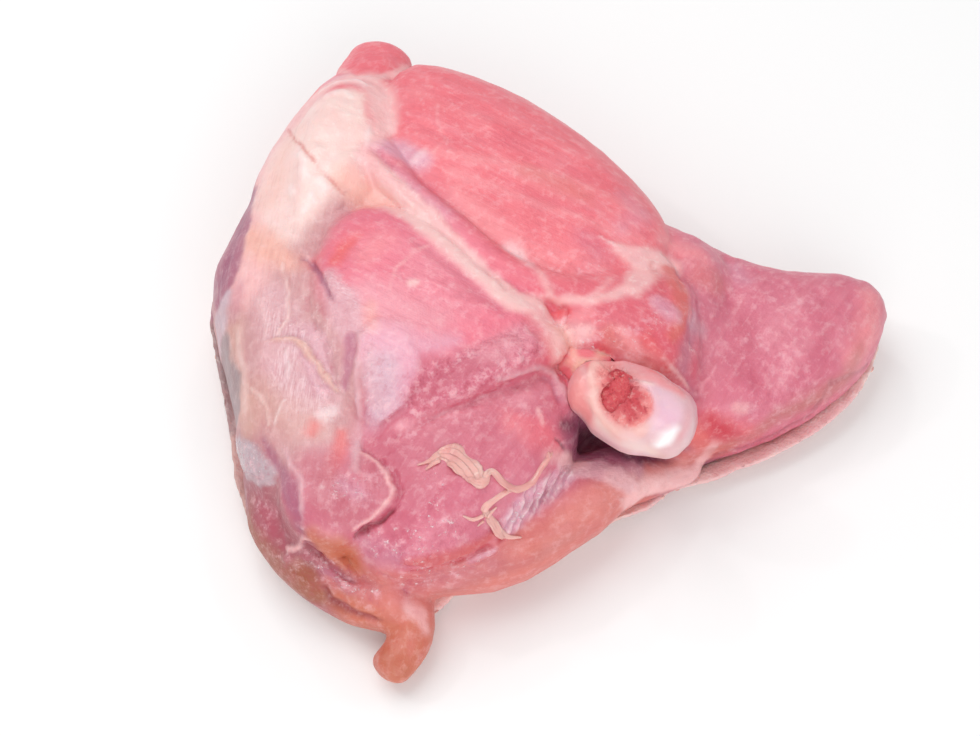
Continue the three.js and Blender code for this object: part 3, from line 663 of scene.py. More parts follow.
    "joint_half": ([(548, 310), (558, 316), (570, 313)], (0.8, 1.1, 0.8), 0.9, "bright_red", 0.6, 0),
    "joint_mottle": ([(620, 330), (632, 340), (640, 354)], (1.4, 2.0, 1.4), 1.2, "light_coral", 0.6, 0.3),
    "joint_tendon": (
        [(648, 335), (655, 354), (670, 371), (684, 384)], (1.8, 1.8, 1.4, 1), 1.4, "bright_red", 0.6, 0.2,
    ),
    "tendon_edge": ([(664, 358), (678, 373), (690, 390)], (0.4, 0.5, 0.4), 0.5, "pink_cream", 0.8, 0.3),
    "hip_fat_line": ([(600, 235), (613, 243), (624, 250)], (0.25, 0.4, 0.5), 0.4, "white", 0.8, 0.3),
    "hip_fat": ([(622, 248), (645, 262), (672, 266)], (2, 4.2, 2.4), 1.8, "pink_cream", 0.95, 0.4),
    "hip_fat_low": (
        [(650, 272), (634, 287), (612, 296), (590, 303)], (3.4, 3, 1.6, 1), 1.5, "pink_cream", 0.9, 0.3,
    ),
    "hip_fat_edge": ([(618, 240), (650, 245), (680, 257)], (0.5, 0.8, 0.6), 0.9, "coral", 0.6, -0.2),
    "hip_notch": ([(652, 264), (651, 270)], (0.5, 0.4), 0.6, "brick", 0.6, -0.1),
    "orange_fin": (
        [(670, 272), (677, 288), (681, 304), (680, 322), (672, 336)],
        (2.0, 2.8, 2.4, 1.8, 1.2), 1.4, "fin", 0.9, 0.4,
    ),
    "fin_brown": ([(657, 274), (662, 285), (664, 297)], (1.2, 1.6, 1.0), 1.3, "brick", 0.45, -0.1),
    "fin_edge": (
        [(673, 256), (682, 275), (689, 298), (690, 318)],
        (0.3, 0.5, 0.5, 0.3), 0.6, "light_coral", 0.6, 0.3,
    ),
    "fin_shade": ([(698, 304), (698, 322), (692, 340)], (0.6, 0.8, 0.6), 0.9, "mauve", 0.5, -0.3),
    "joint_lilac": ([(660, 304), (672, 314)], (2.4, 2.4), 1.4, "lilac", 0.7, 0.1),
    "glint_1": ([(508, 248), (520, 258), (532, 266)], (1.2, 1.6, 1), 1.6, "white", 0.55, 0.1),
    "glint_2": ([(540, 272), (550, 292)], (0.9, 1.2), 1.2, "cream", 0.5, 0.1),
    "glint_3": ([(414, 162), (424, 150)], (0.9, 0.9), 1.1, "white", 0.5, 0.1),
    "radial": ([(594, 296), (610, 280)], (0.9, 0.8), 1.0, "pink_cream", 0.6, 0.2),
}

# Where the fine structure of fat, of film, of torn fibres and of small glinting flecks shows
SURFACES = {
    "fat": [
        "knee_fat", "knee_top", "fat_band", "hip_fat", "hip_fat_low", "joint_cream", "joint_band", "rim_end",
    ],
    "film": [
        "silver", "silver_arm", "film_left", "film_lilac", "grey_film", "lilac_patch", "sheen_1",
        "sheen_2", "sheen_3", "hollow_floor_painted_shade", "film_over",
    ],
    "rough": ["rough_ground"],
}
FLECKS = {
    "rough_flecks": ([(430, 385), (470, 365), (510, 348)], (4, 5, 5), 0.3),
    "front_flecks": ([(395, 545), (405, 560), (435, 578)], (3, 3, 2.4), 1.0),
    "sheen_flecks": ([(508, 520), (530, 500), (556, 486)], (2.4, 3, 2.4), 1.0),
    "fold_flecks": ([(468, 562), (496, 553)], (1.6, 1.6), 1.0),
    "lip_flecks": ([(312, 560), (335, 576), (370, 592)], (3, 3.4, 3), 0.9),
    "lower_flecks": ([(415, 430), (450, 418), (485, 405), (520, 395)], (3, 5, 5, 3), 0.5),
    "front_mottle": ([(380, 545), (420, 545), (450, 530)], (4, 5, 4), 0.9),
    "rim_flecks": ([(410, 580), (440, 575), (470, 565)], (3.4, 3.4, 2.8), 0.9),
    "left_flecks": ([(315, 300), (325, 350), (330, 385), (328, 412)], (4, 4, 4, 3), 0.7),
    "silver_flecks": ([(390, 360), (395, 390), (382, 410)], (4, 4, 3), 0.6),
    "net_flecks": ([(425, 470), (440, 490), (428, 515)], (2.6, 3, 2.6), 0.9),
    "grey_flecks": ([(238, 450), (254, 462), (268, 476)], (2.4, 3, 1.6), 1.0),
    "silver_sparks": ([(366, 345), (372, 385), (368, 420)], (1.4, 1.8, 1.2), 1.0),
    "film_sparks": ([(292, 325), (305, 345), (330, 322)], (2, 2.4, 2), 0.75),
    "joint_sparks": ([(560, 330), (590, 340), (640, 345)], (3, 3.4, 2), 0.8),
    "hip_flecks": ([(700, 300), (745, 285), (800, 300), (840, 320)], (4, 6, 6, 3), 0.4),
    "hip_middle_flecks": (
        [(710, 350), (760, 345), (790, 350), (800, 390), (750, 400)], (4, 6, 6, 5, 5), 0.45,
    ),
    "hip_groove_flecks": ([(690, 345), (702, 352)], (2, 1.6), 0.9),
    "upper_flecks": ([(505, 250), (540, 262), (575, 270), (600, 265)], (3, 3.4, 3.4, 2.6), 0.6),
    "middle_flecks": ([(410, 270), (450, 300), (470, 305)], (4, 4, 3), 0.5),
    "joint_flecks": ([(672, 308), (636, 342), (600, 322)], (2.4, 4, 3), 0.7),
    "lobe_flecks": ([(340, 488), (360, 492), (380, 480)], (4, 4, 3), 0.8),
    "corner_flecks": ([(262, 505), (280, 545), (305, 575)], (4, 5, 4), 0.6),
}

# Those on the outer side run all the way down it, so their heights don't count
DOWN_THE_SIDE = ("edge_purple", "edge_outer", "edge_dark", "edge_grey", "edge_white")
LEVEL = np.array((1, 1, 0))

blotches = 0.82 + 0.18 * np.clip(noise(spots, 3.2, 61) + 0.6 * noise(spots, 1.5, 62), -1, 1)
cover = {}
marked = {name: np.zeros(len(spots)) for name in SURFACES}
for name, (route, widths, edge, tone, strength, height) in MARKS.items():
    counted = LEVEL if name in DOWN_THE_SIDE else 1
    cover[name] = Trail(warped, route, widths, meat_tree, counted).cover(edge)
    tint += (paint(TONES[tone]) - tint) * (strength ** (1 / blotches) * cover[name])[:, None]
    lift += height * cover[name]
    for kind, names in SURFACES.items():
        held = cover[name] if name in names else marked[kind] * (1 - strength * cover[name])
        marked[kind] = np.maximum(marked[kind], held) if name in names else held
flecks = np.zeros(len(spots))
for route, widths, amount in FLECKS.values():
    flecks = np.maximum(flecks, amount * Trail(warped, route, widths, meat_tree).cover(2.0))
tint = tint + (paint(TONES["light_rose"]) - tint) * (0.16 * np.clip(streak, 0, 1))[:, None]
tint = tint + (paint(TONES["deep_rose"]) - tint) * (0.16 * np.clip(-streak, 0, 1))[:, None]

# Fat lies in small soft lobules; a film wrinkles along the muscle; a torn surface is craggy
lobules = noise(spots, 3.0, 6) + 0.6 * noise(spots, 1.7, 7)
lift += marked["fat"] * 0.22 * lobules
wrinkles = along_fibres(9, 1.3, 8)
lift += marked["film"] * (0.07 + 0.1 * cover["sheen_2"]) * wrinkles * (1 - cover["silver"])
RIDGE_WAY = math.radians(-22)
RIDGE_STEP = 1.5
along_ridges = spots[:, 0] * math.cos(RIDGE_WAY) + spots[:, 1] * math.sin(RIDGE_WAY)
ridges = np.sin(2 * math.pi * along_ridges / RIDGE_STEP + 2.8 * noise(spots, 3.0, 15))
lift += 0.45 * cover["sheen_2"] * ridges
# Painted highlights: white on the crests of the film's ridges
crest_highlights = cover["sheen_2"] * ramp(ridges, 0.2, 1) * ramp(noise(spots, 1.8, 19), -0.5, 0.4)
tint = tint + (paint(TONES["white"]) - tint) * (0.5 * crest_highlights)[:, None]
crags = 0.5 * noise(spots, 2.4, 11) + 0.45 * noise(spots, 1.4, 12)
lift += marked["rough"] * crags + 0.4 * cover["orange_fin"] * noise(spots, 2.2, 14)
lift += 0.15 * flecks * noise(spots, 1.3, 13)
spots = spots + out * lift[:, None]

# Tissue clings to the bone wherever the two come close
BONE_GRIP = 2.2
BONE_LINE = [(570, 360), (620, 370), (680, 400)]
bone_tree = surface_of(merged_copy("femur", "femur_bone"))
for index in np.flatnonzero(Trail(spots, BONE_LINE, (20,), meat_tree).beyond < 0):
    nearest, normal, _, distance = bone_tree.find_nearest(Vector(spots[index] / 1000))
    pull = ramp(np.array(distance * 1000), BONE_GRIP, 0.6)
    spots[index] += pull * (np.array(nearest - normal * 0.0001) * 1000 - spots[index])

# The joint's torn capsule lies over the neck of the bone
CAPSULE_ROUTE = [(558, 358), (576, 358), (598, 356), (614, 352)]
CAPSULE_HALF = (6.5, 6.0, 4.2, 3.6)
CAPSULE_EDGE = 1.4
CAPSULE_RISE = 0.7
near = np.flatnonzero(Trail(spots, CAPSULE_ROUTE, (26,), bone_tree).beyond < 0)
near = near[out[near, 2] > -0.3]
roof = spots[near].copy()
for number, spot in enumerate(roof):
    hit = bone_tree.ray_cast(Vector((*spot[:2] / 1000, 0.1)), Vector((0, 0, -1)))[0]
    if hit is None:
        hit = bone_tree.find_nearest(Vector(spot / 1000))[0]
        hit.z -= math.dist(hit[:2], spot[:2] / 1000)
    roof[number, 2] = hit.z * 1000 + CAPSULE_RISE
over = Trail(roof, CAPSULE_ROUTE, CAPSULE_HALF, bone_tree).cover(CAPSULE_EDGE)
over *= roof[:, 2] > spots[near, 2] - 0.3
spots[near, 2] += over * (roof[:, 2] + 0.3 * noise(roof, 2.5, 16) - spots[near, 2])
mottled = ramp(noise(roof, 4, 17) + 0.5 * noise(roof, 1.8, 18), -0.5, 0.6)[:, None]
capsule_tint = paint(TONES["peach"]) * mottled + paint(TONES["coral"]) * (1 - mottled)
tint[near] += (capsule_tint - tint[near]) * over[:, None]
moved(meat.data, spots)


def stored(mesh, name, values, kind="FLOAT"):
    field = {"FLOAT": "value", "FLOAT_COLOR": "color", "FLOAT_VECTOR": "vector"}[kind]
    if kind == "FLOAT_COLOR":
        values = np.concatenate([values, np.ones((len(values), 1))], axis=1)
    mesh.attributes.new(name, kind, "POINT").data.foreach_set(field, np.ravel(values))


stored(meat.data, "tint", tint, "FLOAT_COLOR")
stored(meat.data, "ways", np.stack([way_share[way] for way in list(WAYS)[:3]], axis=1), "FLOAT_COLOR")
stored(meat.data, "fat", marked["fat"])
stored(meat.data, "film", marked["film"])
stored(meat.data, "rough", marked["rough"])
stored(meat.data, "flecks", flecks)


class Socket:
    """A value in a shader. Sums on it add the Math nodes that they stand for."""

    def __init__(self, shader, socket):
        self.shader = shader
        self.socket = socket

    def sum(self, operation, first, second):
        return self.shader.node("ShaderNodeMath", {"operation": operation}, {0: first, 1: second})

    def __add__(self, other):
        return self.sum("ADD", self, other)

    def __radd__(self, other):
        return self.sum("ADD", other, self)

    def __sub__(self, other):
        return self.sum("SUBTRACT", self, other)

    def __rsub__(self, other):
        return self.sum("SUBTRACT", other, self)

    def __mul__(self, other):
        return self.sum("MULTIPLY", self, other)

    def __rmul__(self, other):
        return self.sum("MULTIPLY", other, self)


class Shader:
    """A material whose nodes are made one by one, each with its settings and inputs."""

    def __init__(self, name):
        self.material = bpy.data.materials.new(name)
        self.material.use_nodes = True
        self.tree = self.material.node_tree
        self.surface = self.tree.nodes["Principled BSDF"]

    def feed(self, target, value):
        if isinstance(value, Socket):
            self.tree.links.new(value.socket, target)
        else:
            target.default_value = value

    def node(self, kind, settings=None, inputs=None, output=0):
        made = self.tree.nodes.new(kind)
        for name, value in (settings or {}).items():
            setattr(made, name, value)
        for name, value in (inputs or {}).items():
            self.feed(made.inputs[name], value)
        return Socket(self, made.outputs[output])

    def place(self):
        return self.node("ShaderNodeTexCoord", output="Object")

    def field(self, name, output="Fac"):
        return self.node("ShaderNodeAttribute", {"attribute_name": name}, output=output)

    def turned(self, vector, degrees, scale):
        inputs = {"Vector": vector, "Rotation": (0, 0, math.radians(degrees)), "Scale": scale}
        return self.node("ShaderNodeMapping", {"vector_type": "TEXTURE"}, inputs)

    def noise(self, vector, scale, detail=2.0, roughness=0.5):
        inputs = {"Vector": vector, "Scale": scale, "Detail": detail, "Roughness": roughness}
        return self.node("ShaderNodeTexNoise", {}, inputs)

    def between(self, value, low, high):
        """0 below low, 1 above high, and smooth from one to the other."""
        return self.node(
            "ShaderNodeMapRange", {"interpolation_type": "SMOOTHSTEP"}, {0: value, 1: low, 2: high}
        )

    def mix(self, amount, first, second):
        first, second = (
            value if isinstance(value, Socket) else (*paint(value), 1) for value in (first, second)
        )
        return self.node("ShaderNodeMix", {"data_type": "RGBA"}, {0: amount, 6: first, 7: second}, 2)

    def bump(self, height, depth):
        """Relief of that depth in metres where height is 1."""
        return self.node("ShaderNodeBump", {}, {"Height": height, "Distance": depth, "Strength": 1.0})

    def finish(self, inputs):
        for name, value in inputs.items():
            self.feed(self.surface.inputs[name], value)
        return self.material


def raw_meat():
    """Moist raw meat: soft fibres, painted pale glinting flecks, lobed fat and thin glossy films over it."""
    shader = Shader("raw_meat")
    place = shader.place()
    tint = shader.field("tint", "Color")
    fat = shader.field("fat")
    film = shader.field("film")
    rough = shader.field("rough")
    fleck = shader.field("flecks")
    parts = shader.node("ShaderNodeSeparateColor", {}, {0: shader.field("ways", "Color")})
    shares = [Socket(shader, parts.socket.node.outputs[index]) for index in range(3)]
    shares.append(1 - shares[0] - shares[1] - shares[2])

    fibres = 0.0
    threads = 0.0
    for share, degrees in zip(shares, WAYS.values()):
        along_fibre = shader.turned(place, degrees, (0.013, 0.0011, 0.0011))
        fibres = fibres + share * shader.noise(along_fibre, 1.0, 4.0, 0.6)
        along_thread = shader.turned(place, degrees, (0.004, 0.0004, 0.0004))
        threads = threads + share * shader.noise(along_thread, 1.0, 2.0)
    mottle = shader.noise(place, 450.0, 4.0, 0.65)
    cloud = shader.noise(place, 75.0, 3.0)
    speck = shader.noise(place, 1500.0, 2.0)

    bare = 1 - fat
    broken = fibres * 0.65 + mottle * 0.35
    lighter = shader.mix(0.5, tint, "#FFDADC")
    darker = shader.mix(0.5, tint, "#AE3850")
    colour = shader.mix(shader.between(broken, 0.5, 0.66) * 0.24 * bare, tint, lighter)
    colour = shader.mix(shader.between(broken, 0.5, 0.36) * 0.24 * bare, colour, darker)
    colour = shader.mix(shader.between(mottle, 0.5, 0.66) * 0.24 * bare, colour, lighter)
    colour = shader.mix(shader.between(cloud, 0.52, 0.7) * 0.16 * bare, colour, darker)
    colour = shader.mix(shader.between(cloud, 0.48, 0.3) * 0.14 * bare, colour, lighter)
    torn = shader.between(mottle * 0.75 + speck * 0.25, 0.48, 0.6) * rough
    colour = shader.mix(torn * 0.6, colour, "#F0B2BC")
    pits = shader.between(mottle * 0.75 + speck * 0.25, 0.48, 0.36) * rough
    colour = shader.mix(pits * 0.6, colour, "#B03850")
    # Painted highlights: pale flecks and white specks where the surface is wet, standing in for glints
    patches = shader.noise(place, 260.0, 3.0, 0.6)
    pale_glints = shader.between(patches * 0.6 + mottle * 0.4, 0.5, 0.66) * fleck
    colour = shader.mix(pale_glints * 0.55, colour, "#F8C2CC")
    sunken = shader.between(patches * 0.5 + mottle * 0.5, 0.48, 0.36) * fleck
    colour = shader.mix(sunken * 0.4, colour, "#B84C64")
    wet = shader.between(fleck, 0.5, 0.95)
    glint = shader.between(mottle * 0.45 + speck * 0.55, 0.575, 0.65) * wet
    colour = shader.mix(glint * 0.6, colour, "#FFF2F4")
    film_lines = shader.between(threads * 0.5 + cloud * 0.6, 0.56, 0.8) * film
    colour = shader.mix(film_lines * 0.5, colour, "#F8DEE4")
    bright = shader.between(mottle, 0.5, 0.7) * fat
    colour = shader.mix(bright * 0.3, colour, "#FFF3EE")
    dim = shader.between(cloud, 0.5, 0.68) * fat
    colour = shader.mix(dim * 0.25, colour, "#F0B4B0")

    gloss = 0.44 - film * 0.14 - fleck * 0.1 - shader.between(cloud, 0.4, 0.62) * 0.1
    relief = broken * 0.4 * bare + mottle * (0.3 + rough * 0.7) + speck * (0.1 + rough * 0.2)
    relief = relief + glint * 0.2
    return shader.finish(
        {
            "Base Color": colour,
            "Roughness": gloss,
            "Normal": shader.bump(relief, 0.0006),
            "Subsurface Weight": 0.15,
            "Subsurface Radius": (1.0, 0.35, 0.25),
            "Subsurface Scale": 0.003,
            "Specular IOR Level": 0.55,
        }
    )


meat.data.materials.clear()
meat.data.materials.append(raw_meat())
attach(meat, "root")
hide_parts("meat")

# The skin: one thin sheet that the thigh lies on, pale and fatty inside, pricked with the follicles of
# plucked feathers outside. It is grown to the meat, and its cut rim stands a little proud and curls.
SKIN_VOXEL = 0.0008
SKIN_TONES = ("#F6D4CE", "#EFBABA")
SKIN_MARKS = {
    "left_grey": ([(215, 325), (219, 355), (224, 395), (229, 430)], (2.4, 2.6, 2.6, 2), 1.6, "#A48789", 0.95),
    "left_low": ([(231, 445), (234, 475), (240, 505)], (2.2, 2.2, 2), 1.6, "#C9A29C", 0.9),
    "left_high": ([(213, 285), (212, 300), (213, 315)], (2.0, 2.0, 2.0), 1.4, "#B08090", 0.9),
    "corner": (
        [(245, 522), (262, 552), (290, 584), (320, 602), (360, 622)],
        (2.6, 2.8, 2.8, 2.4, 2), 1.6, "#B77E62", 0.9,
    ),
    "front_lilac": (
        [(640, 512), (700, 486), (760, 466), (820, 436), (860, 392)], (2.4, 2.6, 2.4), 2.4, "#EBB2B6", 0.6,
    ),
}
RIM_TUCKED = ([(436, 600), (470, 598), (500, 592), (530, 582)], (3.4, 4, 4, 2.4), 2.4)
TUCK = np.array((0, 3.4, 0.6))


def raw_skin():
    """Pale raw skin with a pink blush and fat showing through."""
    shader = Shader("raw_skin")
    place = shader.place()
    cloud = shader.noise(place, 60.0, 3.0)
    mottle = shader.noise(place, 380.0, 4.0, 0.6)
    fine = shader.noise(place, 1500.0, 2.0)
    tint = shader.field("tint", "Color")
    colour = shader.mix(shader.between(mottle, 0.5, 0.7) * 0.5, tint, shader.mix(0.5, tint, "#FFF4EE"))
    colour = shader.mix(shader.between(mottle, 0.46, 0.3) * 0.4, colour, shader.mix(0.5, tint, "#C88484"))
    colour = shader.mix(shader.between(cloud, 0.56, 0.7) * 0.2, colour, "#D99A98")
    return shader.finish(
        {
            "Base Color": colour,
            "Roughness": 0.42 + (mottle - 0.5) * 0.2,
            "Normal": shader.bump(mottle + fine * 0.4, 0.0005),
            "Subsurface Weight": 0.15,
            "Subsurface Radius": (1.0, 0.5, 0.35),
            "Subsurface Scale": 0.003,
        }
    )


skin = remeshed(merged_copy("skin", "skin_sheet"), SKIN_VOXEL, 4)
skin_spots = places(skin.data)
skin_out = facing(skin.data)
low = ramp(skin_out[:, 2], 0.2, -0.4)
skin_lift = 0.2 * noise(skin_spots, 5, 21) + 0.12 * noise(skin_spots, 2.2, 22) - 0.3
resting = ramp(skin_spots[:, 2], 2.5, 0.2) * low
skin_lift *= 1 - 0.9 * resting
skin_tree = surface_of(skin)
cloudy = ramp(noise(skin_spots, 9, 23) + 0.5 * noise(skin_spots, 4, 24), -0.5, 0.7)[:, None]
skin_tint = paint(SKIN_TONES[0]) * (1 - cloudy) + paint(SKIN_TONES[1]) * cloudy
for route, widths, edge, colour, strength in SKIN_MARKS.values():
    amount = strength * Trail(skin_spots, route, widths, skin_tree).cover(edge)
    skin_tint += (paint(colour) - skin_tint) * amount[:, None]
route, widths, edge = RIM_TUCKED
skin_spots = skin_spots + skin_out * skin_lift[:, None]
skin_spots += Trail(skin_spots, route, widths, skin_tree).cover(edge)[:, None] * TUCK
moved(skin.data, skin_spots)
stored(skin.data, "tint", skin_tint, "FLOAT_COLOR")
skin.data.materials.clear()
skin.data.materials.append(raw_skin())
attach(skin, "root")
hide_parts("skin")

# The follicles: small flat bumps all over the outer side of the skin. They are skin too, raised round
# the roots of the feathers, and they stay behind when the bird is plucked.
FOLLICLE_STEP = 0.0042
FOLLICLE_RADIUS = 0.0008
FOLLICLE_FLATNESS = 0.35
FOLLICLE_SEED = 5
FOLLICLE_FACING = 0.1
FOLLICLE_HEIGHT = 0.0016
FOLLICLE_SIZES = (0.7, 1.2)


def follicle_skin():
    shader = Shader("follicle_skin")
    fine = shader.noise(shader.place(), 900.0, 2.0)
    colour = shader.mix(shader.between(fine, 0.4, 0.62), "#F3C9BF", "#E7A9A4")
    inputs = {"Base Color": colour, "Roughness": 0.42, "Normal": shader.bump(fine, 0.0003)}
    return shader.finish(inputs | {"Subsurface Weight": 0.15, "Subsurface Scale": 0.003})


def scattering(step, radius, seed, material):
    """A node tree that strews flat bumps over the faces that look down or outwards."""
    tree = bpy.data.node_groups.new("scattering", "GeometryNodeTree")
    face = tree.interface
    face.new_socket("Geometry", in_out="INPUT", socket_type="NodeSocketGeometry")
    numbers = {"Step": step, "Radius": radius, "Seed": seed}
    for name, value in numbers.items():
        kind = "NodeSocketInt" if name == "Seed" else "NodeSocketFloat"
        face.new_socket(name, in_out="INPUT", socket_type=kind).default_value = value
    face.new_socket("Geometry", in_out="OUTPUT", socket_type="NodeSocketGeometry")
    nodes = {}
    for name, kind in {
        "start": "NodeGroupInput", "normal": "GeometryNodeInputNormal", "parts": "ShaderNodeSeparateXYZ",
        "outside": "ShaderNodeMath", "points": "GeometryNodeDistributePointsOnFaces",
        "place": "GeometryNodeInputPosition", "height": "ShaderNodeSeparateXYZ",
        "lifted": "ShaderNodeMath", "both": "ShaderNodeMath",
        "ball": "GeometryNodeMeshIcoSphere", "flat": "GeometryNodeTransform",
        "chance": "FunctionNodeRandomValue", "copies": "GeometryNodeInstanceOnPoints",
        "made": "GeometryNodeRealizeInstances", "coat": "GeometryNodeSetMaterial", "end": "NodeGroupOutput",
    }.items():
        nodes[name] = tree.nodes.new(kind)
    nodes["outside"].operation = "LESS_THAN"
    nodes["outside"].inputs[1].default_value = FOLLICLE_FACING
    nodes["lifted"].operation = "GREATER_THAN"
    nodes["lifted"].inputs[1].default_value = FOLLICLE_HEIGHT
    nodes["both"].operation = "MULTIPLY"
    nodes["points"].distribute_method = "POISSON"
    nodes["points"].inputs["Density Max"].default_value = 1 / step**2
    nodes["ball"].inputs["Subdivisions"].default_value = 2
    nodes["flat"].inputs["Scale"].default_value = (1, 1, FOLLICLE_FLATNESS)
    nodes["chance"].inputs[2].default_value = FOLLICLE_SIZES[0]
    nodes["chance"].inputs[3].default_value = FOLLICLE_SIZES[1]
    nodes["coat"].inputs["Material"].default_value = material
    for source, output, target, entry in (
        ("start", "Geometry", "points", "Mesh"), ("normal", "Normal", "parts", 0),
        ("parts", "Z", "outside", 0), ("outside", 0, "both", 0), ("place", 0, "height", 0),
        ("height", "Z", "lifted", 0), ("lifted", 0, "both", 1), ("both", 0, "points", "Selection"),
        ("start", "Step", "points", "Distance Min"), ("start", "Seed", "points", "Seed"),
        ("start", "Radius", "ball", "Radius"), ("ball", "Mesh", "flat", "Geometry"),
        ("points", "Points", "copies", "Points"), ("points", "Rotation", "copies", "Rotation"),
        ("flat", "Geometry", "copies", "Instance"), ("start", "Seed", "chance", "Seed"),
        ("chance", 1, "copies", "Scale"), ("copies", "Instances", "made", "Geometry"),
        ("made", "Geometry", "coat", "Geometry"), ("coat", "Geometry", "end", "Geometry"),
    ):
        tree.links.new(nodes[source].outputs[output], nodes[target].inputs[entry])
    return tree


follicles = bpy.data.objects.new("skin_follicles", skin.data.copy())
bpy.context.scene.collection.objects.link(follicles)
scatter = follicles.modifiers.new("scatter", "NODES")
scatter.node_group = scattering(FOLLICLE_STEP, FOLLICLE_RADIUS, FOLLICLE_SEED, follicle_skin())
made_plain(follicles)
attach(follicles, "root")

# The femur: its shaft runs hidden through the meat, and its hip end stands free. Glossy cartilage
# covers the end, and the cut across it shows the porous rim of the bone round the marrow.
BONE_VOXEL = 0.0005
RIM_CLOSING = 1.8
CARTILAGE = "#DFB4B8"
CUT_MIDDLE = (0.6, -1.4)
CUT_WAY = math.radians(-60)
CUT_HALF = (9.6, 6.3)
BONE_MARKS = {
    "left_knob": ([(562, 372), (572, 392), (586, 412)], (5.4, 5.4, 3.4), 3.0, "#EE9694", 0.92, 0),
    # Painted highlight: the cream spot on the left knob
    "left_highlight": ([(590, 398), (602, 415)], (1.0, 1.2), 1.4, "#EFC0B8", 0.6, 0.2),
    "bottom_cream": ([(602, 424), (625, 440), (652, 452)], (2.2, 2.4, 1.6), 2.0, "#EFD2C8", 0.85, 0),
    "bottom_shade": ([(612, 447), (640, 457), (664, 456)], (1, 1.2, 0.8), 1.4, "#DDA59C", 0.7, 0),
    "face_hollow": ([(648, 412), (660, 424), (668, 412)], (2.4, 2.6, 2), 2.6, "#EBC4D4", 0.6, -0.5),
    # Painted highlight: the white gloss spot on the cartilage
    "face_highlight": ([(658, 444), (667, 439), (676, 430)], (1.0, 1.3, 1.0), 1.4, "#FFFFFF", 0.9, 0.4),
    "right_lilac": ([(655, 394), (670, 412)], (3.2, 3.6), 2.6, "#E9B9CD", 0.8, 0),
    "right_pink": ([(686, 392), (690, 412), (684, 434)], (1.4, 1.6, 1.4), 1.6, "#EBA0A8", 0.7, 0),
    "top_pink": ([(640, 368), (662, 380), (676, 386)], (2.0, 2.0, 1.4), 1.8, "#F2AEB4", 0.8, 0),
    "shaft_tissue": (
        [(552, 350), (575, 346), (600, 350), (622, 358)], (5, 4.6, 3.2, 2), 1.8, "#EB8E90", 0.96, 0.2,
    ),
    "top_tissue": (
        [(592, 363), (614, 363), (640, 369), (662, 381), (682, 394)],
        (1.4, 2.2, 2.6, 1.8, 1.0), 1.2, "#EC7A7C", 0.92, 0.3,
    ),
    "tissue_edge": (
        [(598, 365), (618, 367), (638, 375), (655, 385)], (0.3, 0.4, 0.4, 0.3), 0.4, "#FAD8D2", 0.8, 0.3,
    ),
    "tissue_red": ([(586, 358), (592, 368)], (1.4, 1.2), 1.2, "#E4646A", 0.7, 0),
}


def cartilage():
    """Glossy white cartilage, warmer and pinker to the left, and the raw face of the cut."""
    shader = Shader("cartilage")
    place = shader.place()
    cloud = shader.noise(place, 110.0, 3.0)
    mottle = shader.noise(place, 700.0, 4.0, 0.6)
    raw = shader.field("raw")
    tint = shader.field("tint", "Color")
    colour = shader.mix(shader.between(cloud, 0.45, 0.68) * 0.3, tint, "#E8C8D2")
    colour = shader.mix(shader.between(mottle, 0.52, 0.68) * (0.15 + 0.15 * raw), colour, "#FBD2CC")
    colour = shader.mix(shader.between(mottle, 0.46, 0.3) * raw * 0.7, colour, "#B02838")
    return shader.finish(
        {
            "Base Color": colour,
            "Roughness": 0.3 + raw * 0.14,
            "Normal": shader.bump(mottle * (0.2 + raw * 1.2), 0.0006),
            "Subsurface Weight": 0.2,
            "Subsurface Radius": (1.0, 0.6, 0.5),
            "Subsurface Scale": 0.003,
            "Coat Weight": 0.2,
            "Coat Roughness": 0.12,
        }
    )


femur = remeshed(bpy.data.objects["femur_bone"], BONE_VOXEL, 8)
bone_spots = places(femur.data)
bone_out = facing(femur.data)
bone_tree = surface_of(femur)
bone_warped = bone_spots + 0.5 * np.stack([noise(bone_spots, 3, seed) for seed in (33, 34, 35)], axis=1)
bone_tint = np.tile(paint(CARTILAGE), (len(bone_spots), 1))
bone_lift = 0.2 * noise(bone_spots, 7, 31) + 0.08 * noise(bone_spots, 2.5, 36)
for name, (route, widths, edge, colour, strength, height) in BONE_MARKS.items():
    cover[name] = Trail(bone_warped, route, widths, bone_tree).cover(edge)
    bone_tint += (paint(colour) - bone_tint) * (strength * cover[name])[:, None]
    bone_lift += height * cover[name]
pulp_low, pulp_high = (np.array(corner) * 1000 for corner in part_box("marrow"))
from_cut = bone_warped[:, :2] - (pulp_low + pulp_high)[:2] / 2 - CUT_MIDDLE
lengthwise = from_cut @ (math.cos(CUT_WAY), math.sin(CUT_WAY)) / CUT_HALF[0]
crosswise = from_cut @ (-math.sin(CUT_WAY), math.cos(CUT_WAY)) / CUT_HALF[1]
off_cut = np.hypot(lengthwise, crosswise)
rim_side = 0.25 + 0.75 * ramp(crosswise, 0.5, -0.2)
upwards = ramp(bone_spots[:, 2], pulp_high[2] - 9, pulp_high[2] - 6)
raw = ramp(off_cut, 1.02, 0.88) * upwards
for colour, amount in (
    ("#EFB8B0", 0.85 * rim_side * ramp(off_cut, 1.2, 1.06) * upwards),
    ("#EC8886", 0.95 * raw),
    ("#CE3E4A", 0.95 * ramp(off_cut + 0.15 * noise(bone_spots, 1.6, 38), 0.9, 0.6) * upwards),
):
    bone_tint += (paint(colour) - bone_tint) * amount[:, None]
bone_lift += 0.25 * rim_side * ramp(off_cut, 1.2, 1.05) * upwards - 0.5 * raw
bone_lift += raw * 0.5 * noise(bone_spots, 1.3, 32)
bone_spots = bone_spots + bone_out * bone_lift[:, None]
to_pulp = (pulp_low + pulp_high) / 2 - bone_spots
to_pulp[:, 2] = 0
off_pulp = np.linalg.norm(to_pulp, axis=1)
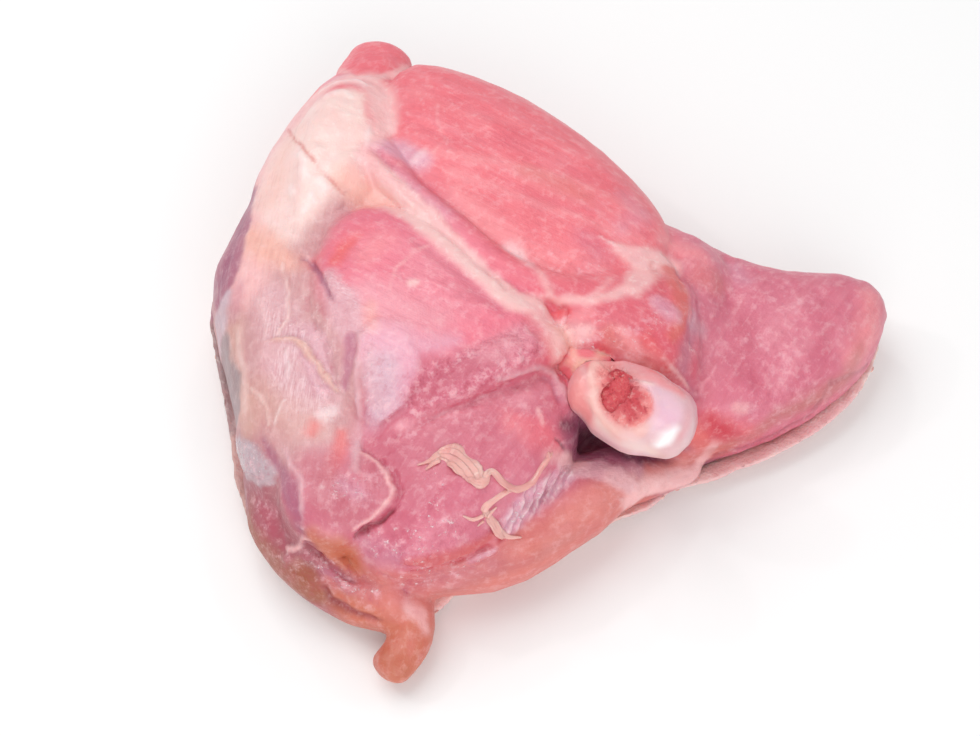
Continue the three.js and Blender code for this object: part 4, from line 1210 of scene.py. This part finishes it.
closing = ramp(off_pulp, 8.5, 5.5) * ramp(bone_spots[:, 2], pulp_high[2] - 4, pulp_high[2] - 2)
closing *= RIM_CLOSING * (1 + 0.45 * noise(bone_spots, 1.7, 37))
bone_spots += to_pulp / off_pulp[:, None] * closing[:, None]
moved(femur.data, bone_spots)
stored(femur.data, "tint", bone_tint, "FLOAT_COLOR")
stored(femur.data, "raw", raw)
femur.data.materials.clear()
femur.data.materials.append(cartilage())
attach(femur, "root")
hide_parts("femur")

# The marrow: soft red pulp of blood and fat that fills the bone. The cut across the bone has torn it
# open, so that it shows there as a crumbled face with dark pores.
MARROW_VOXEL = 0.0003
PULP_SPREAD = 1.0
PULP_SINK = 0.2


def marrow_pulp():
    shader = Shader("marrow_pulp")
    place = shader.place()
    pores = shader.noise(place, 900.0, 4.0, 0.7)
    cloud = shader.noise(place, 240.0, 2.0)
    colour = shader.mix(shader.between(cloud, 0.4, 0.62), "#E0525A", "#CC3644")
    colour = shader.mix(shader.between(pores, 0.52, 0.64) * 0.6, colour, "#F0948E")
    colour = shader.mix(shader.between(pores, 0.45, 0.34) * 0.5, colour, "#A81E30")
    inputs = {"Base Color": colour, "Roughness": 0.3, "Normal": shader.bump(pores, 0.0008)}
    return shader.finish(inputs | {"Subsurface Weight": 0.1})


marrow = remeshed(merged_copy("marrow", "marrow_core"), MARROW_VOXEL, 3)
pulp_spots = places(marrow.data)
pulp_out = facing(marrow.data)
torn = ramp(pulp_out[:, 2], 0.1, 0.6)
pulp_lift = torn * (0.5 * noise(pulp_spots, 2.0, 41) + 0.35 * noise(pulp_spots, 0.9, 42))
pulp_lift += PULP_SPREAD * (1 - torn) - PULP_SINK * torn
moved(marrow.data, pulp_spots + pulp_out * pulp_lift[:, None])
marrow.data.materials.clear()
marrow.data.materials.append(marrow_pulp())
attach(marrow, "root")
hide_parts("marrow")

# The loose strand: cream connective tissue torn off with the neighbouring muscle. A flat ribbon spreads
# and twists across the lower muscle into thin cords with frayed ends, and grows into it at its right end.
STRANDS = [
    ([(416, 466), (428, 462), (440, 454), (453, 451)], (0.2, 0.5, 0.9, 1.3)),
    ([(436, 455), (452, 456), (466, 466), (478, 483)], (1.0, 3.3, 3.5, 1.8)),
    ([(468, 478), (479, 484), (486, 480), (489, 470)], (0.8, 1.3, 0.9, 0.3)),
    (
        [(482, 480), (492, 472), (503, 483), (516, 489), (530, 483), (541, 467), (553, 452)],
        (0.8, 0.8, 1.0, 1.2, 1.1, 1.0, 0.7),
    ),
    ([(536, 476), (545, 464), (549, 452)], (0.5, 0.7, 0.4)),
    ([(514, 489), (500, 496), (487, 506), (483, 513)], (0.5, 0.8, 0.9, 0.8)),
    ([(484, 509), (492, 522), (499, 533), (504, 539)], (0.8, 1.2, 1.3, 0.5)),
    ([(499, 530), (509, 537), (523, 538)], (0.8, 0.6, 0.2)),
    ([(462, 516), (473, 520), (484, 516)], (0.2, 0.5, 0.6)),
    ([(484, 521), (477, 527)], (0.5, 0.2)),
    ([(425, 471), (431, 466), (440, 460)], (0.2, 0.5, 0.8)),
    ([(497, 507), (491, 513), (487, 519)], (0.3, 0.5, 0.5)),
]
RIBBON_THICKNESS = 0.4
RIBBON_VOXEL = 0.0002
moved_tree = surface_of(meat)


def smooth_route(points, count):
    """More points along a route, on a smooth curve through the given ones."""
    points = np.array(points, float)
    padded = np.vstack([2 * points[0] - points[1], points, 2 * points[-1] - points[-2]])
    result = []
    for place in np.linspace(0, len(points) - 1 - 1e-9, count):
        i, t = int(place), place % 1
        a, b, c, d = padded[i : i + 4]
        bend = (2 * a - 5 * b + 4 * c - d) * t**2 + (3 * b - a - 3 * c + d) * t**3
        result.append(0.5 * (2 * b + (c - a) * t + bend))
    return np.array(result)


def ribbon(route, widths, tree, seed, thickness=RIBBON_THICKNESS, sides=12, rise=0.25):
    """A flat ribbon with wavy edges along a route of photo pixels: points, faces and the way along it."""
    line = smooth_route(sighted(route, tree), max(12, len(route) * 9))
    steps = len(line)
    height = line[:, 2].copy()
    for _ in range(3):
        height[1:-1] = np.maximum(height[1:-1], (height[:-2] + 2 * height[1:-1] + height[2:]) / 4)
    line[:, 2] = height + rise
    along = np.gradient(line, axis=0)
    across = np.cross([0, 0, 1], along)
    across /= np.linalg.norm(across, axis=1)[:, None]
    up = np.cross(along, across)
    up /= np.linalg.norm(up, axis=1)[:, None]
    stations = np.linspace(0, 1, steps)
    half = np.interp(stations, np.linspace(0, 1, len(widths)), widths)
    waves = noise(line, 1.6, 61 + seed)
    tilt = 0.5 * noise(line, 5, 71 + seed)
    taper = np.minimum(1, np.minimum(stations, 1 - stations) * 16 + 0.2)
    points, flows = [], []
    for i in range(steps):
        for k in range(sides):
            angle = 2 * math.pi * k / sides
            wide = half[i] * (1 + 0.2 * waves[i] * (1 if k < sides / 2 else -1))
            flat = math.cos(angle) * wide * taper[i]
            crown = 1 + 0.1 * math.cos(angle * 5)
            tall = math.sin(angle) * min(half[i], thickness * crown) * taper[i] + flat * tilt[i]
            points.append(line[i] + across[i] * flat + up[i] * tall)
            flows.append((stations[i] * steps / 3, flat, seed * 3))
    faces = []
    for i in range(steps - 1):
        for k in range(sides):
            a, b = i * sides + k, i * sides + (k + 1) % sides
            faces.append((a, b, b + sides, a + sides))
    faces.append(tuple(reversed(range(sides))))
    faces.append(tuple(range((steps - 1) * sides, steps * sides)))
    return points, faces, flows


def piece_of(name, shapes):
    """One piece made of several closed shapes, grown together where they cross."""
    points, faces, flows = [], [], []
    for more_points, more_faces, more_flows in shapes:
        faces += [[len(points) + i for i in face] for face in more_faces]
        points += [tuple(point / 1000) for point in more_points]
        flows += more_flows
    mesh = bpy.data.meshes.new(name)
    mesh.from_pydata(points, [], faces)
    work = bmesh.new()
    work.from_mesh(mesh)
    bmesh.ops.recalc_face_normals(work, faces=work.faces)
    work.to_mesh(mesh)
    work.free()
    piece = bpy.data.objects.new(name, mesh)
    bpy.context.scene.collection.objects.link(piece)
    bpy.context.view_layer.update()
    shapes_tree = surface_of(piece)
    corners = [face.vertices[0] for face in mesh.polygons]
    remeshed(piece, RIBBON_VOXEL, 3)
    found = [shapes_tree.find_nearest(vertex.co)[2] for vertex in piece.data.vertices]
    stored(piece.data, "flow", np.array([flows[corners[index]] for index in found]), "FLOAT_VECTOR")
    return piece


def fascia():
    """Moist cream tissue with a pink cast and paler threads."""
    shader = Shader("fascia")
    place = shader.place()
    cloud = shader.noise(place, 140.0, 3.0)
    flow = shader.field("flow", "Vector")
    threads = shader.noise(shader.turned(flow, 0, (6.0, 0.32, 1.0)), 1.0, 3.0)
    colour = shader.mix(shader.between(cloud, 0.42, 0.62) * 0.8, "#EEB2AA", "#E09492")
    # Painted highlights: the paler colour on the raised threads
    colour = shader.mix(shader.between(threads, 0.5, 0.68) * 0.55, colour, "#FAD6CC")
    colour = shader.mix(shader.between(threads, 0.44, 0.3) * 0.2, colour, "#DC8A8A")
    return shader.finish(
        {
            "Base Color": colour,
            "Roughness": 0.34,
            "Normal": shader.bump(threads, 0.0003),
            "Subsurface Weight": 0.25,
            "Subsurface Radius": (1.0, 0.5, 0.35),
            "Subsurface Scale": 0.002,
        }
    )


strand = piece_of(
    "strand_ribbon",
    [ribbon(route, widths, moved_tree, seed) for seed, (route, widths) in enumerate(STRANDS)],
)
strand.data.materials.append(fascia())
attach(strand, "root")
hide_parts("loose_strand")

# The photographer's table: a pale floor, and soft light from above with small lamps for wet glints.
# The camera looks down from the front, as in the photograph.
KEY_LIGHT = {"place": (-0.3, 0.2, 0.85), "size": 0.7, "power": 3.1}
FRONT_LIGHT = {"place": (0.12, -0.7, 0.4), "size": 0.7, "power": 2.8}
GLINT_LIGHTS = [(-0.18, 0.42, 0.55), (0.12, 0.5, 0.6), (-0.4, 0.1, 0.45)]
GLINT_POWER = 0.16
SKY = 0.56

bpy.ops.mesh.primitive_plane_add(size=4)
floor = bpy.context.object
floor.name = "floor"
paper = Shader("paper")
floor.data.materials.append(paper.finish({"Base Color": (0.95, 0.95, 0.95, 1), "Roughness": 0.8}))


def lamp(name, place, size, power):
    light = bpy.data.lights.new(name, "AREA")
    light.energy = power
    light.size = size
    stand = bpy.data.objects.new(name, light)
    stand.location = place
    stand.rotation_euler = (-Vector(place)).to_track_quat("-Z", "Y").to_euler()
    bpy.context.scene.collection.objects.link(stand)


lamp("key_light", **KEY_LIGHT)
lamp("front_light", **FRONT_LIGHT)
for number, place in enumerate(GLINT_LIGHTS):
    lamp(f"glint_light_{number}", place, 0.03, GLINT_POWER)

world = bpy.data.worlds.new("studio")
world.use_nodes = True
world.node_tree.nodes["Background"].inputs["Color"].default_value = (1, 1, 1, 1)
world.node_tree.nodes["Background"].inputs["Strength"].default_value = SKY
bpy.context.scene.world = world
bpy.context.scene.view_settings.view_transform = "Standard"

lens = bpy.data.cameras.new("camera")
lens.lens = CAMERA_LENS
camera = bpy.data.objects.new("camera", lens)
camera.location = camera_place
camera.rotation_euler = camera_turn.to_euler()
bpy.context.scene.collection.objects.link(camera)
bpy.context.scene.camera = camera
